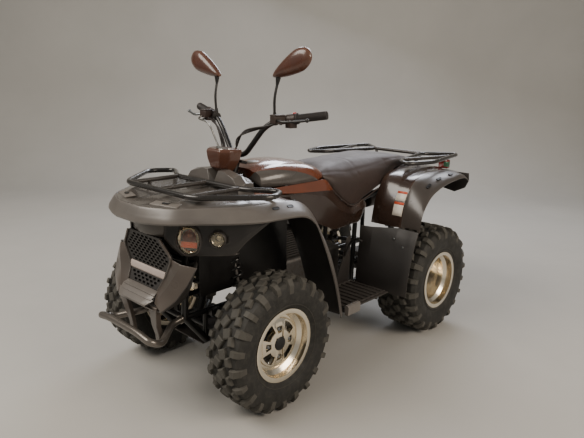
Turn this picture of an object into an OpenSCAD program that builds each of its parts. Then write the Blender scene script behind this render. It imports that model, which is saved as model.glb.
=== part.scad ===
// Small utility quad bike: X is across (+X is the rider's left), the front faces -Y, +Z is up.
// The origin is on the ground, midway between the axles. All sizes are in millimetres.

/* [Overall] */
// Distance between the front and rear axles
wheelbase = 1056; // [900:1:1300]
// Distance between the centres of the front tyres
front_track = 710; // [640:1:860]
// Distance between the centres of the rear tyres
rear_track = 738; // [680:1:900]
// Width of the body over the front fenders
body_width = 824; // [780:1:1000]

/* [Wheels] */
// Outer diameter of a front tyre
front_tyre_d = 525; // [480:1:560]
// Width of a front tyre
front_tyre_w = 178; // [150:1:200]
// Outer diameter of a rear tyre
rear_tyre_d = 535; // [480:1:560]
// Width of a rear tyre
rear_tyre_w = 232; // [200:1:260]
// Diameter of the rims at the bead seat
rim_d = 254; // [240:1:260]
// Height of the rim flange above the bead seat
rim_flange_h = 15.5; // [10:0.5:18]
// Thickness of the rim's wall
rim_wall = 4; // [3:0.5:6]
// Bolt circle of the wheel nuts
nut_circle_d = 110; // [100:1:120]
// Radius of a wheel spindle
spindle_r = 15; // [12:0.5:18]

/* [Steering] */
// Lean of the steering stem from the vertical, in degrees
stem_lean = 19; // [12:1:25]
// Radius of the steering stem
stem_r = 14; // [12:0.5:16]
// Length of the pitman arm and of the knuckle arms
steer_arm = 65; // [50:1:75]
// Radius of the handlebar's tube
bar_r = 11; // [10:0.5:12]
// Width of the handlebar over the grips
bar_width = 750; // [680:1:800]
// Radius of the grips
grip_r = 16.5; // [15:0.5:18]

/* [Frame and racks] */
// Radius of the frame's main tubes
frame_r = 14; // [11:0.5:15]
// Distance between the centres of the frame's side rails
frame_w = 190; // [180:1:200]
// Radius of the rack tubes
rack_r = 10.5; // [8:0.5:12]
// Height of the front rack's tubes
front_rack_z = 822; // [818:1:860]
// Height of the rear rack's tubes
rear_rack_z = 842; // [836:1:880]
// Radius of the front bumper's tube
bumper_r = 13.5; // [11:0.5:16]
// Radius of the bore in the tow hitch plate
hitch_r = 8; // [6:0.5:12]
// Thickness of the tow hitch plate
hitch_t = 8; // [6:0.5:12]

/* [Panels] */
// Thickness of the moulded plastic panels
panel_t = 3.5; // [2.5:0.5:5]
// Thickness of the skid plate
skid_t = 3; // [2:0.5:5]

/* [Clearances] */
// Running gap round a turning shaft
run_gap = 0.3; // [0.2:0.05:0.5]
// Gap between neighbouring panels
seam = 0.5; // [0.3:0.1:0.8]

/* [Hidden] */
$fn = 48;

front_y = -wheelbase / 2;
rear_y = wheelbase / 2;
front_z = front_tyre_d / 2;
rear_z = rear_tyre_d / 2;
bead_r = rim_d / 2;
flange_r = bead_r + rim_flange_h;
rail_x = frame_w / 2;

// Middle of the vehicle that stretches with the wheelbase; both ends are carried whole.
design_wheelbase = 1056;
middle = 300;
function sy(y) = y + (wheelbase - design_wheelbase) / 2 * max(-1, min(1, y / middle));
// Outer edges of the body are carried out with its width.
design_width = 824;
function sx(x) = x + sign(x) * (body_width - design_width) / 2 * min(1, max(0, (abs(x) - 200) / 140));
function at(x, y, z) = [x, sy(y), z];
function wide(x, y, z) = [sx(x), sy(y), z];

// ---------- helpers ----------
function spline_at(a, b, c, d, t) =
  0.5 * (2 * b + (c - a) * t + (2 * a - 5 * b + 4 * c - d) * t * t + (3 * b - a - 3 * c + d) * t * t * t);
function smooth(p, n) = concat(
  [for (i = [0 : len(p) - 2], k = [0 : n - 1])
    spline_at(p[max(i - 1, 0)], p[i], p[i + 1], p[min(i + 2, len(p) - 1)], k / n)],
  [p[len(p) - 1]]);
function mirrored(p) = [-p[0], p[1], p[2]];
function reversed(list) = [for (i = [len(list) - 1 : -1 : 0]) list[i]];
function mix(a, b, t) = a + (b - a) * t;

module both_sides() {
  children();
  mirror([1, 0, 0]) children();
}

module rod(a, b, r) {
  d = b - a;
  translate(a)
    rotate([0, acos(d[2] / norm(d)), atan2(d[1], d[0])])
      cylinder(h = norm(d), r = r);
}

// Tube along straight legs that run a little past each corner. Neighbouring legs differ a little
// in radius, so that no two meet on a tangent.
corner_reach = 0.4;
leg_step = 0.15;
module bent_tube(points, r, closed = false) {
  n = len(points);
  for (i = [0 : closed ? n - 1 : n - 2])
    let (p = points[i], q = points[(i + 1) % n], u = (q - p) / norm(q - p),
         past_p = closed || i > 0 ? corner_reach * r : 0, past_q = closed || i < n - 2 ? corner_reach * r : 0)
    rod(p - past_p * u, q + past_q * u, r - leg_step * (i % 3));
}

// Closed sheet of even thickness under a grid of surface points.
function grid_normal(g, i, j) =
  let (u = g[min(i + 1, len(g) - 1)][j] - g[max(i - 1, 0)][j],
       v = g[i][min(j + 1, len(g[0]) - 1)] - g[i][max(j - 1, 0)],
       n = cross(u, v))
  n / norm(n);

module sheet(g, t) {
  rows = len(g);
  cols = len(g[0]);
  count = rows * cols;
  top = [for (i = [0 : rows - 1], j = [0 : cols - 1]) g[i][j]];
  back = [for (i = [0 : rows - 1], j = [0 : cols - 1]) g[i][j] - t * grid_normal(g, i, j)];
  function id(i, j) = i * cols + j;
  faces = concat(
    [for (i = [0 : rows - 2], j = [0 : cols - 2]) [id(i, j), id(i, j + 1), id(i + 1, j + 1)]],
    [for (i = [0 : rows - 2], j = [0 : cols - 2]) [id(i, j), id(i + 1, j + 1), id(i + 1, j)]],
    [for (i = [0 : rows - 2], j = [0 : cols - 2])
      [count + id(i, j), count + id(i + 1, j + 1), count + id(i, j + 1)]],
    [for (i = [0 : rows - 2], j = [0 : cols - 2])
      [count + id(i, j), count + id(i + 1, j), count + id(i + 1, j + 1)]],
    [for (i = [0 : rows - 2]) [id(i, 0), id(i + 1, 0), count + id(i + 1, 0)]],
    [for (i = [0 : rows - 2]) [id(i, 0), count + id(i + 1, 0), count + id(i, 0)]],
    [for (i = [0 : rows - 2]) [id(i, cols - 1), count + id(i + 1, cols - 1), id(i + 1, cols - 1)]],
    [for (i = [0 : rows - 2]) [id(i, cols - 1), count + id(i, cols - 1), count + id(i + 1, cols - 1)]],
    [for (j = [0 : cols - 2]) [id(0, j), count + id(0, j + 1), id(0, j + 1)]],
    [for (j = [0 : cols - 2]) [id(0, j), count + id(0, j), count + id(0, j + 1)]],
    [for (j = [0 : cols - 2]) [id(rows - 1, j), id(rows - 1, j + 1), count + id(rows - 1, j + 1)]],
    [for (j = [0 : cols - 2]) [id(rows - 1, j), count + id(rows - 1, j + 1), count + id(rows - 1, j)]]);
  polyhedron(concat(top, back), faces, convexity = 6);
}

// Solid through closed rings of points, with each end fanned about the middle of its ring.
function ring_middle(ring) = [for (p = ring) 1] * ring / len(ring);
module loft(rings) {
  rows = len(rings);
  n = len(rings[0]);
  points = concat([for (ring = rings) for (p = ring) p], [ring_middle(rings[0]), ring_middle(rings[rows - 1])]);
  faces = concat(
    [for (j = [0 : n - 1]) [(j + 1) % n, j, rows * n]],
    [for (i = [0 : rows - 2], j = [0 : n - 1]) [i * n + j, i * n + (j + 1) % n, (i + 1) * n + (j + 1) % n]],
    [for (i = [0 : rows - 2], j = [0 : n - 1]) [i * n + j, (i + 1) * n + (j + 1) % n, (i + 1) * n + j]],
    [for (j = [0 : n - 1]) [(rows - 1) * n + j, (rows - 1) * n + (j + 1) % n, rows * n + 1]]);
  polyhedron(points, faces, convexity = 6);
}

// Flat plate in the YZ plane between two X positions.
module side_plate(outline, x0, x1) {
  translate([x0, 0, 0])
    rotate([90, 0, 90])
      linear_extrude(x1 - x0)
        polygon(outline);
}

// ---------- suspension layout ----------
kingpin_x = front_track / 2 - 65;
kingpin_low = front_z - 74;
kingpin_high = front_z + 74;
ear_t = 20;
pin_r = 8;
pivot_x = rail_x + 27;
low_pivot_z = 226;
high_pivot_z = 334;
arm_r = 11;
bush_r = 15;
bush_l = 36;
front_spread = 85;
upright_x = rear_track / 2 - 74;
upright_t = 30;
shock_low_x = pivot_x + 92;
shock_low_z = 262;
shock_high_x = rail_x + 24;
shock_high_z = 598;
shock_r = 27;
rear_shock_low_z = 374;

// Stem foot; the stem leans back from it.
foot = [0, front_y - 71, 283];
stem_axis = [0, sin(stem_lean), cos(stem_lean)];
function on_stem(d) = foot + d * stem_axis;
arm_dir = [0, cos(stem_lean), -sin(stem_lean)];
pitman_half = 16;
rod_z = foot[2] - steer_arm * sin(stem_lean);

// Pin on two ears that stand out of a rail at x, ready for a bush along Y.
module pivot_lug(x, y, z, rail) {
  for (side = [-1, 1])
    translate([min(x, rail), y + side * (bush_l / 2 + run_gap + 2.5) - 2.5, z - 12])
      cube([abs(x - rail) + 10, 5, 24]);
  translate([x, y - bush_l / 2 - 5, z])
    rotate([-90, 0, 0])
      cylinder(h = bush_l + 10, r = pin_r);
}

module bush(x, y, z) {
  translate([x, y - bush_l / 2, z])
    rotate([-90, 0, 0])
      cylinder(h = bush_l, r = bush_r);
}

module bush_bore(x, y, z) {
  translate([x, y - bush_l / 2 - 1, z])
    rotate([-90, 0, 0])
      cylinder(h = bush_l + 2, r = pin_r + run_gap);
}

// ---------- frame ----------
low_z = 215;
seat_base = 748;
cross_r = 10;
mid_z = 334;
rack_post_x = 189;
rack_post_y = -685;
top_cross_z = 702;

module frame() {
  color("#17181a") difference() {
    union() {
      both_sides() {
        bent_tube([at(rail_x, 655, low_z), at(rail_x, -640, low_z), at(rail_x, -738, mid_z),
          at(rail_x, -728, 560), at(rail_x, rack_post_y, top_cross_z), at(rail_x, -280, 640), at(rail_x, 330, 640),
          at(rail_x, 640, 688), at(rail_x, 796, 716)], frame_r);
        rod(at(rail_x, 640, low_z), at(rail_x, 640, 688), 12);
        rod(at(rail_x, -736, mid_z), at(rail_x, -255, mid_z), 11);
        rod(at(rail_x, 300, mid_z), at(rail_x, 640, mid_z), 11);
        rod(at(rail_x, -255, low_z), at(rail_x, -262, 640), 12);
        rod(at(rail_x, 300, low_z), at(rail_x, 318, 640), 12);
        for (side = [-1, 1]) {
          pivot_lug(pivot_x, front_y + side * front_spread, low_pivot_z, rail_x);
          pivot_lug(pivot_x, front_y + side * front_spread, high_pivot_z, rail_x);
          pivot_lug(pivot_x, rear_y + side * front_spread, low_pivot_z, rail_x);
          pivot_lug(pivot_x, rear_y + side * front_spread, high_pivot_z, rail_x);
        }
        for (y = [front_y, rear_y]) shock_hanger(y);
        // Outriggers that carry the footboards.
        for (y = [-90, 140]) rod(at(rail_x, y, low_z), at(368, y, 252.6), 9);
      }
      for (y = [-440, -120, 180, 528, 640])
        rod(at(-rail_x, y, low_z), at(rail_x, y, low_z), cross_r);
      for (p = [[-728, 560], [-738, mid_z], [-262, 640], [318, 640], [640, 688], [786, 714]])
        rod(at(-rail_x, p[0], p[1]), at(rail_x, p[0], p[1]), cross_r);
      both_sides() {
        // Seat posts on the upper rails.
        for (y = [120, 380]) rod(at(rail_x, y, 640), [rail_x, sy(y), seat_base - run_gap], 9);
        // Stays under the front fender.
        rod(at(150, rack_post_y, top_cross_z), [150, sy(rack_post_y), deck_under], 7);
      }
      // Beam under the front rack's posts.
      rod(at(-rack_post_x - 12, rack_post_y, top_cross_z), at(rack_post_x + 12, rack_post_y, top_cross_z), 12);
      // Stem bearings, on a beam below and a beam above.
      rod(at(-rail_x, -640, mid_z - 60), at(rail_x, -640, mid_z - 60), 9);
      both_sides() rod(at(rail_x, -640, low_z), at(rail_x, -640, mid_z), cross_r);
      translate(on_stem(-42)) rotate([-stem_lean, 0, 0]) cylinder(h = 30, r = stem_r + 8);
      rod(on_stem(-27) + [0, -8, 0], [0, sy(-640), mid_z - 60], 10);
      translate(on_stem(395)) rotate([-stem_lean, 0, 0]) cylinder(h = 30, r = stem_r + 8);
      both_sides() rod(on_stem(410) + [stem_r + 3, 0, 0], [rail_x, on_stem(410)[1], 672], 9);
      // Tow hitch plate on two drop arms.
      both_sides() rod(at(rail_x, 640, mid_z - 20), at(34, 745, 336), 9);
      translate([-45, sy(730), 332]) cube([90, 80, hitch_t]);
    }
    translate(on_stem(-60)) rotate([-stem_lean, 0, 0]) cylinder(h = 70, r = stem_r + run_gap);
    translate(on_stem(380)) rotate([-stem_lean, 0, 0]) cylinder(h = 70, r = stem_r + run_gap);
    translate([0, sy(785), 320]) cylinder(h = 40, r = hitch_r);
  }
}

module shock_hanger(y) {
  for (side = [-1, 1])
    translate([rail_x - 8, y + side * 20 - 2.5, shock_high_z - 14])
      cube([shock_high_x - rail_x + 22, 5, 88]);
  translate([shock_high_x, y - 22, shock_high_z])
    rotate([-90, 0, 0])
      cylinder(h = 44, r = pin_r);
}

module skid_plate() {
  z = low_z - frame_r;
  color("#26282a")
    translate([-rail_x, 0, 0])
      rotate([90, 0, 90])
        linear_extrude(2 * rail_x)
          polygon([[sy(-655), z - 0.3], [sy(-655), z - 0.3 - skid_t], [sy(-300), z - 0.3 - skid_t],
            [sy(-300), z - 0.3]]);
}

module engine() {
  color("#55575a") {
    translate([-72, sy(-190), low_z + cross_r + run_gap]) cube([144, sy(236) - sy(-190), 200]);
    translate([-55, sy(-170), low_z + cross_r + 190]) cube([110, 170, 140]);
    both_sides() translate([72, sy(60), 330]) rotate([0, 90, 0]) cylinder(h = 6, r = 80);
  }
}

module final_drive() {
  base = low_z + cross_r + run_gap;
  color("#606265") {
    translate([-62, rear_y - 60, base]) cube([124, 120, 96]);
    translate([0, sy(236), rear_z]) rotate([-90, 0, 0]) cylinder(h = rear_y - 60 - sy(236), r = 14);
  }
}

module exhaust() {
  color("#3a3836") {
    bent_tube([[-34, sy(-170) + 170 + run_gap, 520], at(-34, 60, 520), at(-34, 130, 590), at(-34, 560, 590)], 17);
    translate(at(-34, 560, 590)) rotate([-90, 0, 0]) cylinder(h = 300, r = 44);
    translate(at(-34, 860, 590)) rotate([-90, 0, 0]) cylinder(h = 25, r = 14);
  }
}

// ---------- front and rear arms ----------
module front_wishbones() {
  color("#1c1d1f") both_sides() difference() {
    union() {
      for (side = [-1, 1]) {
        bush(pivot_x, front_y + side * front_spread, low_pivot_z);
        bush(pivot_x, front_y + side * front_spread, high_pivot_z);
        rod([pivot_x, front_y + side * front_spread, low_pivot_z],
          [kingpin_x - 20, front_y + side * 8, kingpin_low - 20], arm_r);
        rod([pivot_x, front_y + side * front_spread, high_pivot_z],
          [kingpin_x - 20, front_y + side * 8, kingpin_high + 20], arm_r);
      }
      translate([kingpin_x, front_y, kingpin_low - 32]) cylinder(h = 21.7, r = 17);
      translate([kingpin_x, front_y, kingpin_low - 12]) cylinder(h = 22, r = pin_r);
      translate([kingpin_x - 34, front_y - 14, kingpin_low - 31]) cube([34, 28, 20]);
      translate([kingpin_x, front_y, kingpin_high + 10.3]) cylinder(h = 21.7, r = 17);
      translate([kingpin_x, front_y, kingpin_high - 10]) cylinder(h = 22, r = pin_r);
      translate([kingpin_x - 34, front_y - 14, kingpin_high + 11]) cube([34, 28, 20]);
      shock_perch(front_y, low_pivot_z, kingpin_x, kingpin_low - 20, 14, shock_low_z);
    }
    for (side = [-1, 1], z = [low_pivot_z, high_pivot_z])
      bush_bore(pivot_x, front_y + side * front_spread, z);
  }
}

// Cross tube between the two tubes of an arm, with ears and a pin for the shock absorber.
module shock_perch(y, pivot_z, end_x, end_z, end_y, eye_z) {
  t = (shock_low_x - pivot_x) / (end_x - 20 - pivot_x);
  z = mix(pivot_z, end_z, t);
  spread = mix(front_spread, end_y - 6, t);
  rod([shock_low_x, y - spread, z], [shock_low_x, y + spread, z], 9);
  for (side = [-1, 1])
    translate([shock_low_x - 10, y + side * 20 - 2.5, z]) cube([20, 5, eye_z - z + 12]);
  translate([shock_low_x, y - 22, eye_z]) rotate([-90, 0, 0]) cylinder(h = 44, r = pin_r);
}

module rear_wishbones() {
  color("#1c1d1f") both_sides() difference() {
    union() {
      for (side = [-1, 1]) {
        bush(pivot_x, rear_y + side * front_spread, low_pivot_z);
        bush(pivot_x, rear_y + side * front_spread, high_pivot_z);
        rod([pivot_x, rear_y + side * front_spread, low_pivot_z],
          [upright_x - 22, rear_y + side * 16, rear_z - 66], arm_r);
        rod([pivot_x, rear_y + side * front_spread, high_pivot_z],
          [upright_x - 22, rear_y + side * 16, rear_z + 66], arm_r);
      }
      for (dz = [-66, 66])
        translate([upright_x - 34, rear_y - 28, rear_z + dz - 13]) cube([34, 56, 26]);
      shock_perch(rear_y, high_pivot_z, upright_x, rear_z + 66, 22, rear_shock_low_z);
    }
    for (side = [-1, 1], z = [low_pivot_z, high_pivot_z])
      bush_bore(pivot_x, rear_y + side * front_spread, z);
  }
}

module rear_uprights() {
  color("#3c3e40") both_sides() difference() {
    union() {
      translate([upright_x, rear_y - 28, rear_z - 82]) cube([12, 56, 164]);
      translate([upright_x, rear_y, rear_z]) rotate([0, 90, 0]) cylinder(h = upright_t, r = 42);
    }
    translate([upright_x - 1, rear_y, rear_z]) rotate([0, 90, 0])
      cylinder(h = upright_t + 2, r = spindle_r + 10 + run_gap);
  }
}

module shock_absorber(y, low_eye_z) {
  low = [shock_low_x, y, low_eye_z];
  high = [shock_high_x, y, shock_high_z];
  difference() {
    union() {
      for (end = [low, high]) translate(end + [0, -16, 0]) rotate([-90, 0, 0]) cylinder(h = 32, r = 15);
      rod(low, high, 12);
      rod(mix(low, high, 0.12), mix(low, high, 0.86), shock_r);
    }
    for (end = [low, high]) translate(end + [0, -17, 0]) rotate([-90, 0, 0]) cylinder(h = 34, r = pin_r + run_gap);
  }
}

module shock_absorbers() {
  color("#2b2b2d") both_sides() {
    shock_absorber(front_y, shock_low_z);
    shock_absorber(rear_y, rear_shock_low_z);
  }
}

// ---------- steering ----------
module steering_stem() {
  color("#202123") {
    translate(on_stem(-46)) rotate([-stem_lean, 0, 0]) cylinder(h = 46 + 640, r = stem_r);
    // Pitman plate with two rod pivots.
    difference() {
      translate(foot) rotate([-stem_lean, 0, 0]) union() {
        translate([-pitman_half - 13, -12, 9]) cube([2 * pitman_half + 26, steer_arm + 24, 8]);
      }
      for (side = [-1, 1])
        translate(foot + steer_arm * arm_dir + [side * pitman_half, 0, 0])
          rotate([-stem_lean, 0, 0]) cylinder(h = 30, r = 5 + run_gap);
    }
    // Handlebar clamp.
    translate(on_stem(640)) rotate([-stem_lean, 0, 0]) translate([-46, -15, -2]) cube([92, 30, 11.5]);
  }
}

bar_low = on_stem(640 + 9.8 + 11);
bend_x = 150;
function bar_path() = [
  bar_low + [38, 0, 0],
  [bend_x, front_y + 170, 1058],
  [bar_width / 2 - 2, front_y + 247, 1093]];
function along_grip(d) =
  let (p = bar_path(), u = (p[1] - p[2]) / norm(p[1] - p[2])) p[2] + d * u;

module handlebar() {
  p = bar_path();
  color("#141415") {
    bent_tube([mirrored(p[2]), mirrored(p[1]), mirrored(p[0]), p[0], p[1], p[2]], bar_r);
  }
}

module grips() {
  color("#2a2725") both_sides() difference() {
    union() {
      rod(along_grip(-6), along_grip(118), grip_r);
      rod(along_grip(112), along_grip(118), grip_r + 5);
    }
    rod(along_grip(0), along_grip(130), bar_r + run_gap);
  }
}

module hand_controls() {
  color("#161616") both_sides() difference() {
    union() {
      // Switch housing beside the grip.
      rod(along_grip(119), along_grip(161), 21);
      translate(along_grip(140) + [-17, -20, -33]) cube([32, 34, 24]);
      // Lever bracket with its reservoir.
      rod(along_grip(157), along_grip(187), 16);
      translate(along_grip(173) + [-18, -62, -14]) cube([33, 54, 36]);
      rod(along_grip(168) + [0, -44, 2], along_grip(122) + [4, -78, -10], 6);
      rod(along_grip(122) + [4, -78, -10], along_grip(24) + [0, -70, -14], 5);
      translate(along_grip(122) + [4, -78, -10]) sphere(r = 6.6);
      translate(along_grip(24) + [0, -70, -14]) sphere(r = 8);
    }
    rod(along_grip(100), along_grip(200), bar_r + run_gap);
  }
}

mirror_c = [265, 0, 1276];
module mirrors() {
  base = along_grip(214);
  color("#121212") both_sides() {
    y = front_y + 196;
    difference() {
      rod(along_grip(205), along_grip(223), 17);
      rod(along_grip(200), along_grip(228), bar_r + run_gap);
    }
    bent_tube([base + [0, 0, 14], [base[0] + 2, y - 22, 1150], [186, y - 6, 1216],
      [mirror_c[0] - 52, y, mirror_c[2] - 22]], 5);
    translate([mirror_c[0], y, mirror_c[2]]) rotate([0, -24, 0]) hull() {
      translate([-58, -8, -4]) scale([1, 0.55, 1]) sphere(r = 24, $fn = 24);
      translate([36, -8, 2]) scale([1, 0.4, 1]) sphere(r = 44, $fn = 24);
    }
  }
}

module pod_shell() {
  translate([0, on_stem(600)[1], on_stem(600)[2]]) hull() {
    for (p = [[52, -104, 86], [64, -30, 92], [58, -18, 62]])
      for (side = [-1, 1]) translate([side * p[0], p[1], p[2]]) sphere(r = 8, $fn = 16);
    for (p = [[40, -96, 44], [20, -52, 14]])
      for (side = [-1, 1]) translate([side * p[0], p[1], p[2]]) sphere(r = 8, $fn = 16);
  }
}

module instrument_pod() {
  color("#141414") difference() {
    union() {
      // Bracket that saddles the stem.
      translate(on_stem(600)) rotate([-stem_lean, 0, 0]) translate([-17, -50, 0]) cube([34, 50, 30]);
      pod_shell();
    }
    rod(on_stem(560), on_stem(720), stem_r + seam);
    translate(on_stem(640)) rotate([-stem_lean, 0, 0]) translate([-80, -18, -3]) cube([160, 80, 40]);
  }
}

module knuckle() {
  color("#4a4c4e") difference() {
    union() {
      translate([kingpin_x, front_y, kingpin_low - 10]) cylinder(h = ear_t, r = 16);
      translate([kingpin_x, front_y, kingpin_high - 10]) cylinder(h = ear_t, r = 16);
      translate([kingpin_x + 8, front_y - 15, kingpin_low - 10])
        cube([18, 30, kingpin_high - kingpin_low + 20]);
      translate([kingpin_x + 8, front_y, front_z]) rotate([0, 90, 0]) cylinder(h = 20, r = 34);
      translate([kingpin_x + 8, front_y, front_z]) rotate([0, 90, 0]) cylinder(h = 96, r = spindle_r);
      // Steering arm, reaching back.
      translate([kingpin_x - 12, front_y + 8, rod_z - 22]) cube([pitman_half + 24, steer_arm + 6, 12]);
      translate([kingpin_x, front_y + 10, rod_z - 20]) cube([20, 10, 30]);
      // Brake caliper, ahead of the spindle.
      translate([kingpin_x + 8, front_y - 30, front_z + 12]) cube([14, 30, 40]);
    }
    translate([kingpin_x, front_y, kingpin_low - 20]) cylinder(h = ear_t + 20, r = pin_r + run_gap);
    translate([kingpin_x, front_y, kingpin_high - 20]) cylinder(h = ear_t + 20, r = pin_r + run_gap);
    translate([kingpin_x + pitman_half, front_y + steer_arm, rod_z - 30]) cylinder(h = 40, r = 7);
  }
}
module left_knuckle() { knuckle(); }
module right_knuckle() { mirror([1, 0, 0]) knuckle(); }

module tie_rod() {
  inner = foot + steer_arm * arm_dir + [pitman_half, 0, 0];
  outer = [kingpin_x + pitman_half, front_y + steer_arm, rod_z];
  color("#5a5c5e") {
    bent_tube([inner, inner + [38, 10, 0], [118, front_y + 71, rod_z], outer], 7);
    translate(inner) rotate([-stem_lean, 0, 0]) translate([0, 0, -9]) cylinder(h = 17.7, r = 11);
    translate(inner) rotate([-stem_lean, 0, 0]) cylinder(h = 22, r = 5);
    translate(outer + [0, 0, -7.7]) cylinder(h = 20, r = 12);
    translate(outer + [0, 0, -26]) cylinder(h = 24, r = 5);
  }
}
module left_tie_rod() { tie_rod(); }
module right_tie_rod() { mirror([1, 0, 0]) tie_rod(); }

// ---------- wheels ----------
// Axial position is measured outboard from the tyre's middle plane.
module tyre_ring(d, w, half_rim) {
  r = d / 2;
  h = w / 2;
  b = bead_r + 0.3;
  rotate_extrude($fn = 72) polygon([
    [b, -half_rim + 9.5], [b, -half_rim + 22], [b + 14, -half_rim + 16], [r - 62, -h + 10],
    [r - 22, -h + 22], [r - 16, -h + 44], [r - 16, h - 44], [r - 22, h - 22], [r - 62, h - 10],
    [b + 14, half_rim - 16], [b, half_rim - 22], [b, half_rim - 9.5],
    [b + 3, half_rim - 6.2], [flange_r + 2, half_rim - 4], [flange_r + 16, half_rim - 1], [r - 64, h - 1], [r - 30, h],
    [r - 12, h - 8], [r - 3, h - 26], [r, h - 50], [r, -h + 50], [r - 3, -h + 26], [r - 12, -h + 8],
    [r - 30, -h], [r - 64, -h + 1], [flange_r + 16, -half_rim + 1], [flange_r + 2, -half_rim + 4],
    [b + 3, -half_rim + 6.2]]);
}

module rim_barrel(half_rim) {
  f = flange_r;
  t = rim_wall;
  well = bead_r - 15;
  rotate_extrude($fn = 72) polygon([
    [f, -half_rim], [f, -half_rim + 3], [bead_r + 3, -half_rim + 5.5], [bead_r, -half_rim + 9],
    [bead_r, -half_rim + 30], [well, -half_rim + 42], [well, half_rim - 42], [bead_r, half_rim - 30],
    [bead_r, half_rim - 9], [bead_r + 3, half_rim - 5.5], [f, half_rim - 3], [f, half_rim],
    [bead_r - t, half_rim - 2], [bead_r - t, half_rim - 30], [well - t, half_rim - 43],
    [well - t, -half_rim + 43], [bead_r - t, -half_rim + 30], [bead_r - t, -half_rim + 2]]);
}

front_half_rim = 70;
rear_half_rim = 105;
front_disc = 19;
rear_disc = -40;

module rim_face(a, windows) {
  well = bead_r - 15;
  difference() {
    translate([0, 0, a]) cylinder(h = 8, r = well - 1, $fn = 72);
    for (k = [0 : 3]) rotate([0, 0, 45 + 90 * k]) translate([nut_circle_d / 2 + 22, 0, a - 1])
      if (windows) cylinder(h = 10, r = 14);
  }
}

module front_wheel_rim() {
  rim_barrel(front_half_rim);
  difference() {
    union() {
      rim_face(front_disc, true);
      // Hub and brake disc.
      translate([0, 0, -30]) cylinder(h = front_disc + 31, r = 34);
      translate([0, 0, -30]) cylinder(h = 5, r = 88, $fn = 72);
      translate([0, 0, front_disc + 7]) cylinder(h = 23, r = 31);
      for (k = [0 : 3]) rotate([0, 0, 90 * k]) translate([nut_circle_d / 2, 0, front_disc + 7])
        cylinder(h = 9, r = 9);
    }
    translate([0, 0, -40]) cylinder(h = 80, r = spindle_r + run_gap);
  }
}

module rear_wheel_rim() {
  rim_barrel(rear_half_rim);
  rim_face(rear_disc, false);
  translate([0, 0, rear_disc + 7]) cylinder(h = 34, r = 31);
  for (k = [0 : 3]) rotate([0, 0, 90 * k]) translate([nut_circle_d / 2, 0, rear_disc + 7]) cylinder(h = 9, r = 9);
}

module place_front(side) { translate([side * front_track / 2, front_y, front_z]) rotate([0, side * 90, 0]) children(); }
module place_rear(side) { translate([side * rear_track / 2, rear_y, rear_z]) rotate([0, side * 90, 0]) children(); }

module front_left_tyre() { color("#26241f") place_front(1) tyre_ring(front_tyre_d, front_tyre_w, front_half_rim); }
module front_right_tyre() { color("#26241f") place_front(-1) tyre_ring(front_tyre_d, front_tyre_w, front_half_rim); }
module rear_left_tyre() { color("#26241f") place_rear(1) tyre_ring(rear_tyre_d, rear_tyre_w, rear_half_rim); }
module rear_right_tyre() { color("#26241f") place_rear(-1) tyre_ring(rear_tyre_d, rear_tyre_w, rear_half_rim); }
module front_left_rim() { color("#cfcac0") place_front(1) front_wheel_rim(); }
module front_right_rim() { color("#cfcac0") place_front(-1) front_wheel_rim(); }
module rear_left_rim() { color("#cfcac0") place_rear(1) rear_wheel_rim(); }
module rear_right_rim() { color("#cfcac0") place_rear(-1) rear_wheel_rim(); }

module half_shaft() {
  disc_x = rear_track / 2 + rear_disc;
  color("#2c2c2c") translate([0, rear_y, rear_z]) rotate([0, 90, 0]) {
    translate([0, 0, 62 + run_gap]) cylinder(h = 18, r = 30);
    translate([0, 0, 80]) cylinder(h = 50, r1 = 30, r2 = 15);
    translate([0, 0, 120]) cylinder(h = upright_x - 120, r = 12);
    translate([0, 0, upright_x - 62]) cylinder(h = 50, r1 = 15, r2 = 32);
    translate([0, 0, upright_x - 14]) cylinder(h = 13.5, r = 32);
    translate([0, 0, upright_x - 2]) cylinder(h = disc_x - upright_x + 2, r = spindle_r + 10);
  }
}
module left_half_shaft() { half_shaft(); }
module right_half_shaft() { mirror([1, 0, 0]) half_shaft(); }

// ---------- racks and bumper ----------
module front_rack() {
  z = front_rack_z;
  color("#141516") {
    bent_tube([at(210, -775, z), at(390, -560, z), at(330, -460, z), at(200, -545, z),
      at(-200, -545, z), at(-330, -460, z), at(-390, -560, z), at(-210, -775, z)], rack_r, closed = true);
    for (x = [-rack_post_x, 0, rack_post_x]) rod(at(x, -775, z), at(x, -545, z), rack_r - 1.5);
    both_sides() rod(at(rack_post_x, rack_post_y, top_cross_z + 12 + run_gap), at(rack_post_x, rack_post_y, z), 8);
  }
}

module rear_rack() {
  z = rear_rack_z;
  color("#141516") {
    both_sides() {
      bent_tube([at(150, 815, z), at(236, 473, z), at(318, 398, z), at(370, 560, z), at(300, 944.5, z)],
        rack_r, closed = true);
      rod(at(225, 520, z), at(318, 850, z), rack_r - 1.5);
      rod(at(150, 815, z), at(rail_x, 788, 742), 8);
      difference() {
        translate(at(rail_x, 788, 722)) cylinder(h = 22, r = 10);
        rod(at(rail_x, 640, 688), at(rail_x, 848, 725.3), frame_r + run_gap);
      }
    }
    rod(at(-150, 815, z), at(150, 815, z), rack_r);
  }
}

module front_bumper() {
  color("#3a3937") {
    bent_tube([[-rail_x, sy(-738) - frame_r - 0.7, mid_z], [-rail_x, sy(-738) - 60, 326], at(-168, -890, 304), at(-172, -941.5, 328), at(-90, -941.5, 340),
      at(90, -941.5, 340), at(172, -941.5, 328), at(168, -890, 304), [rail_x, sy(-738) - 60, 326], [rail_x, sy(-738) - frame_r - 0.7, mid_z]], bumper_r);
  }
}

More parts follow.
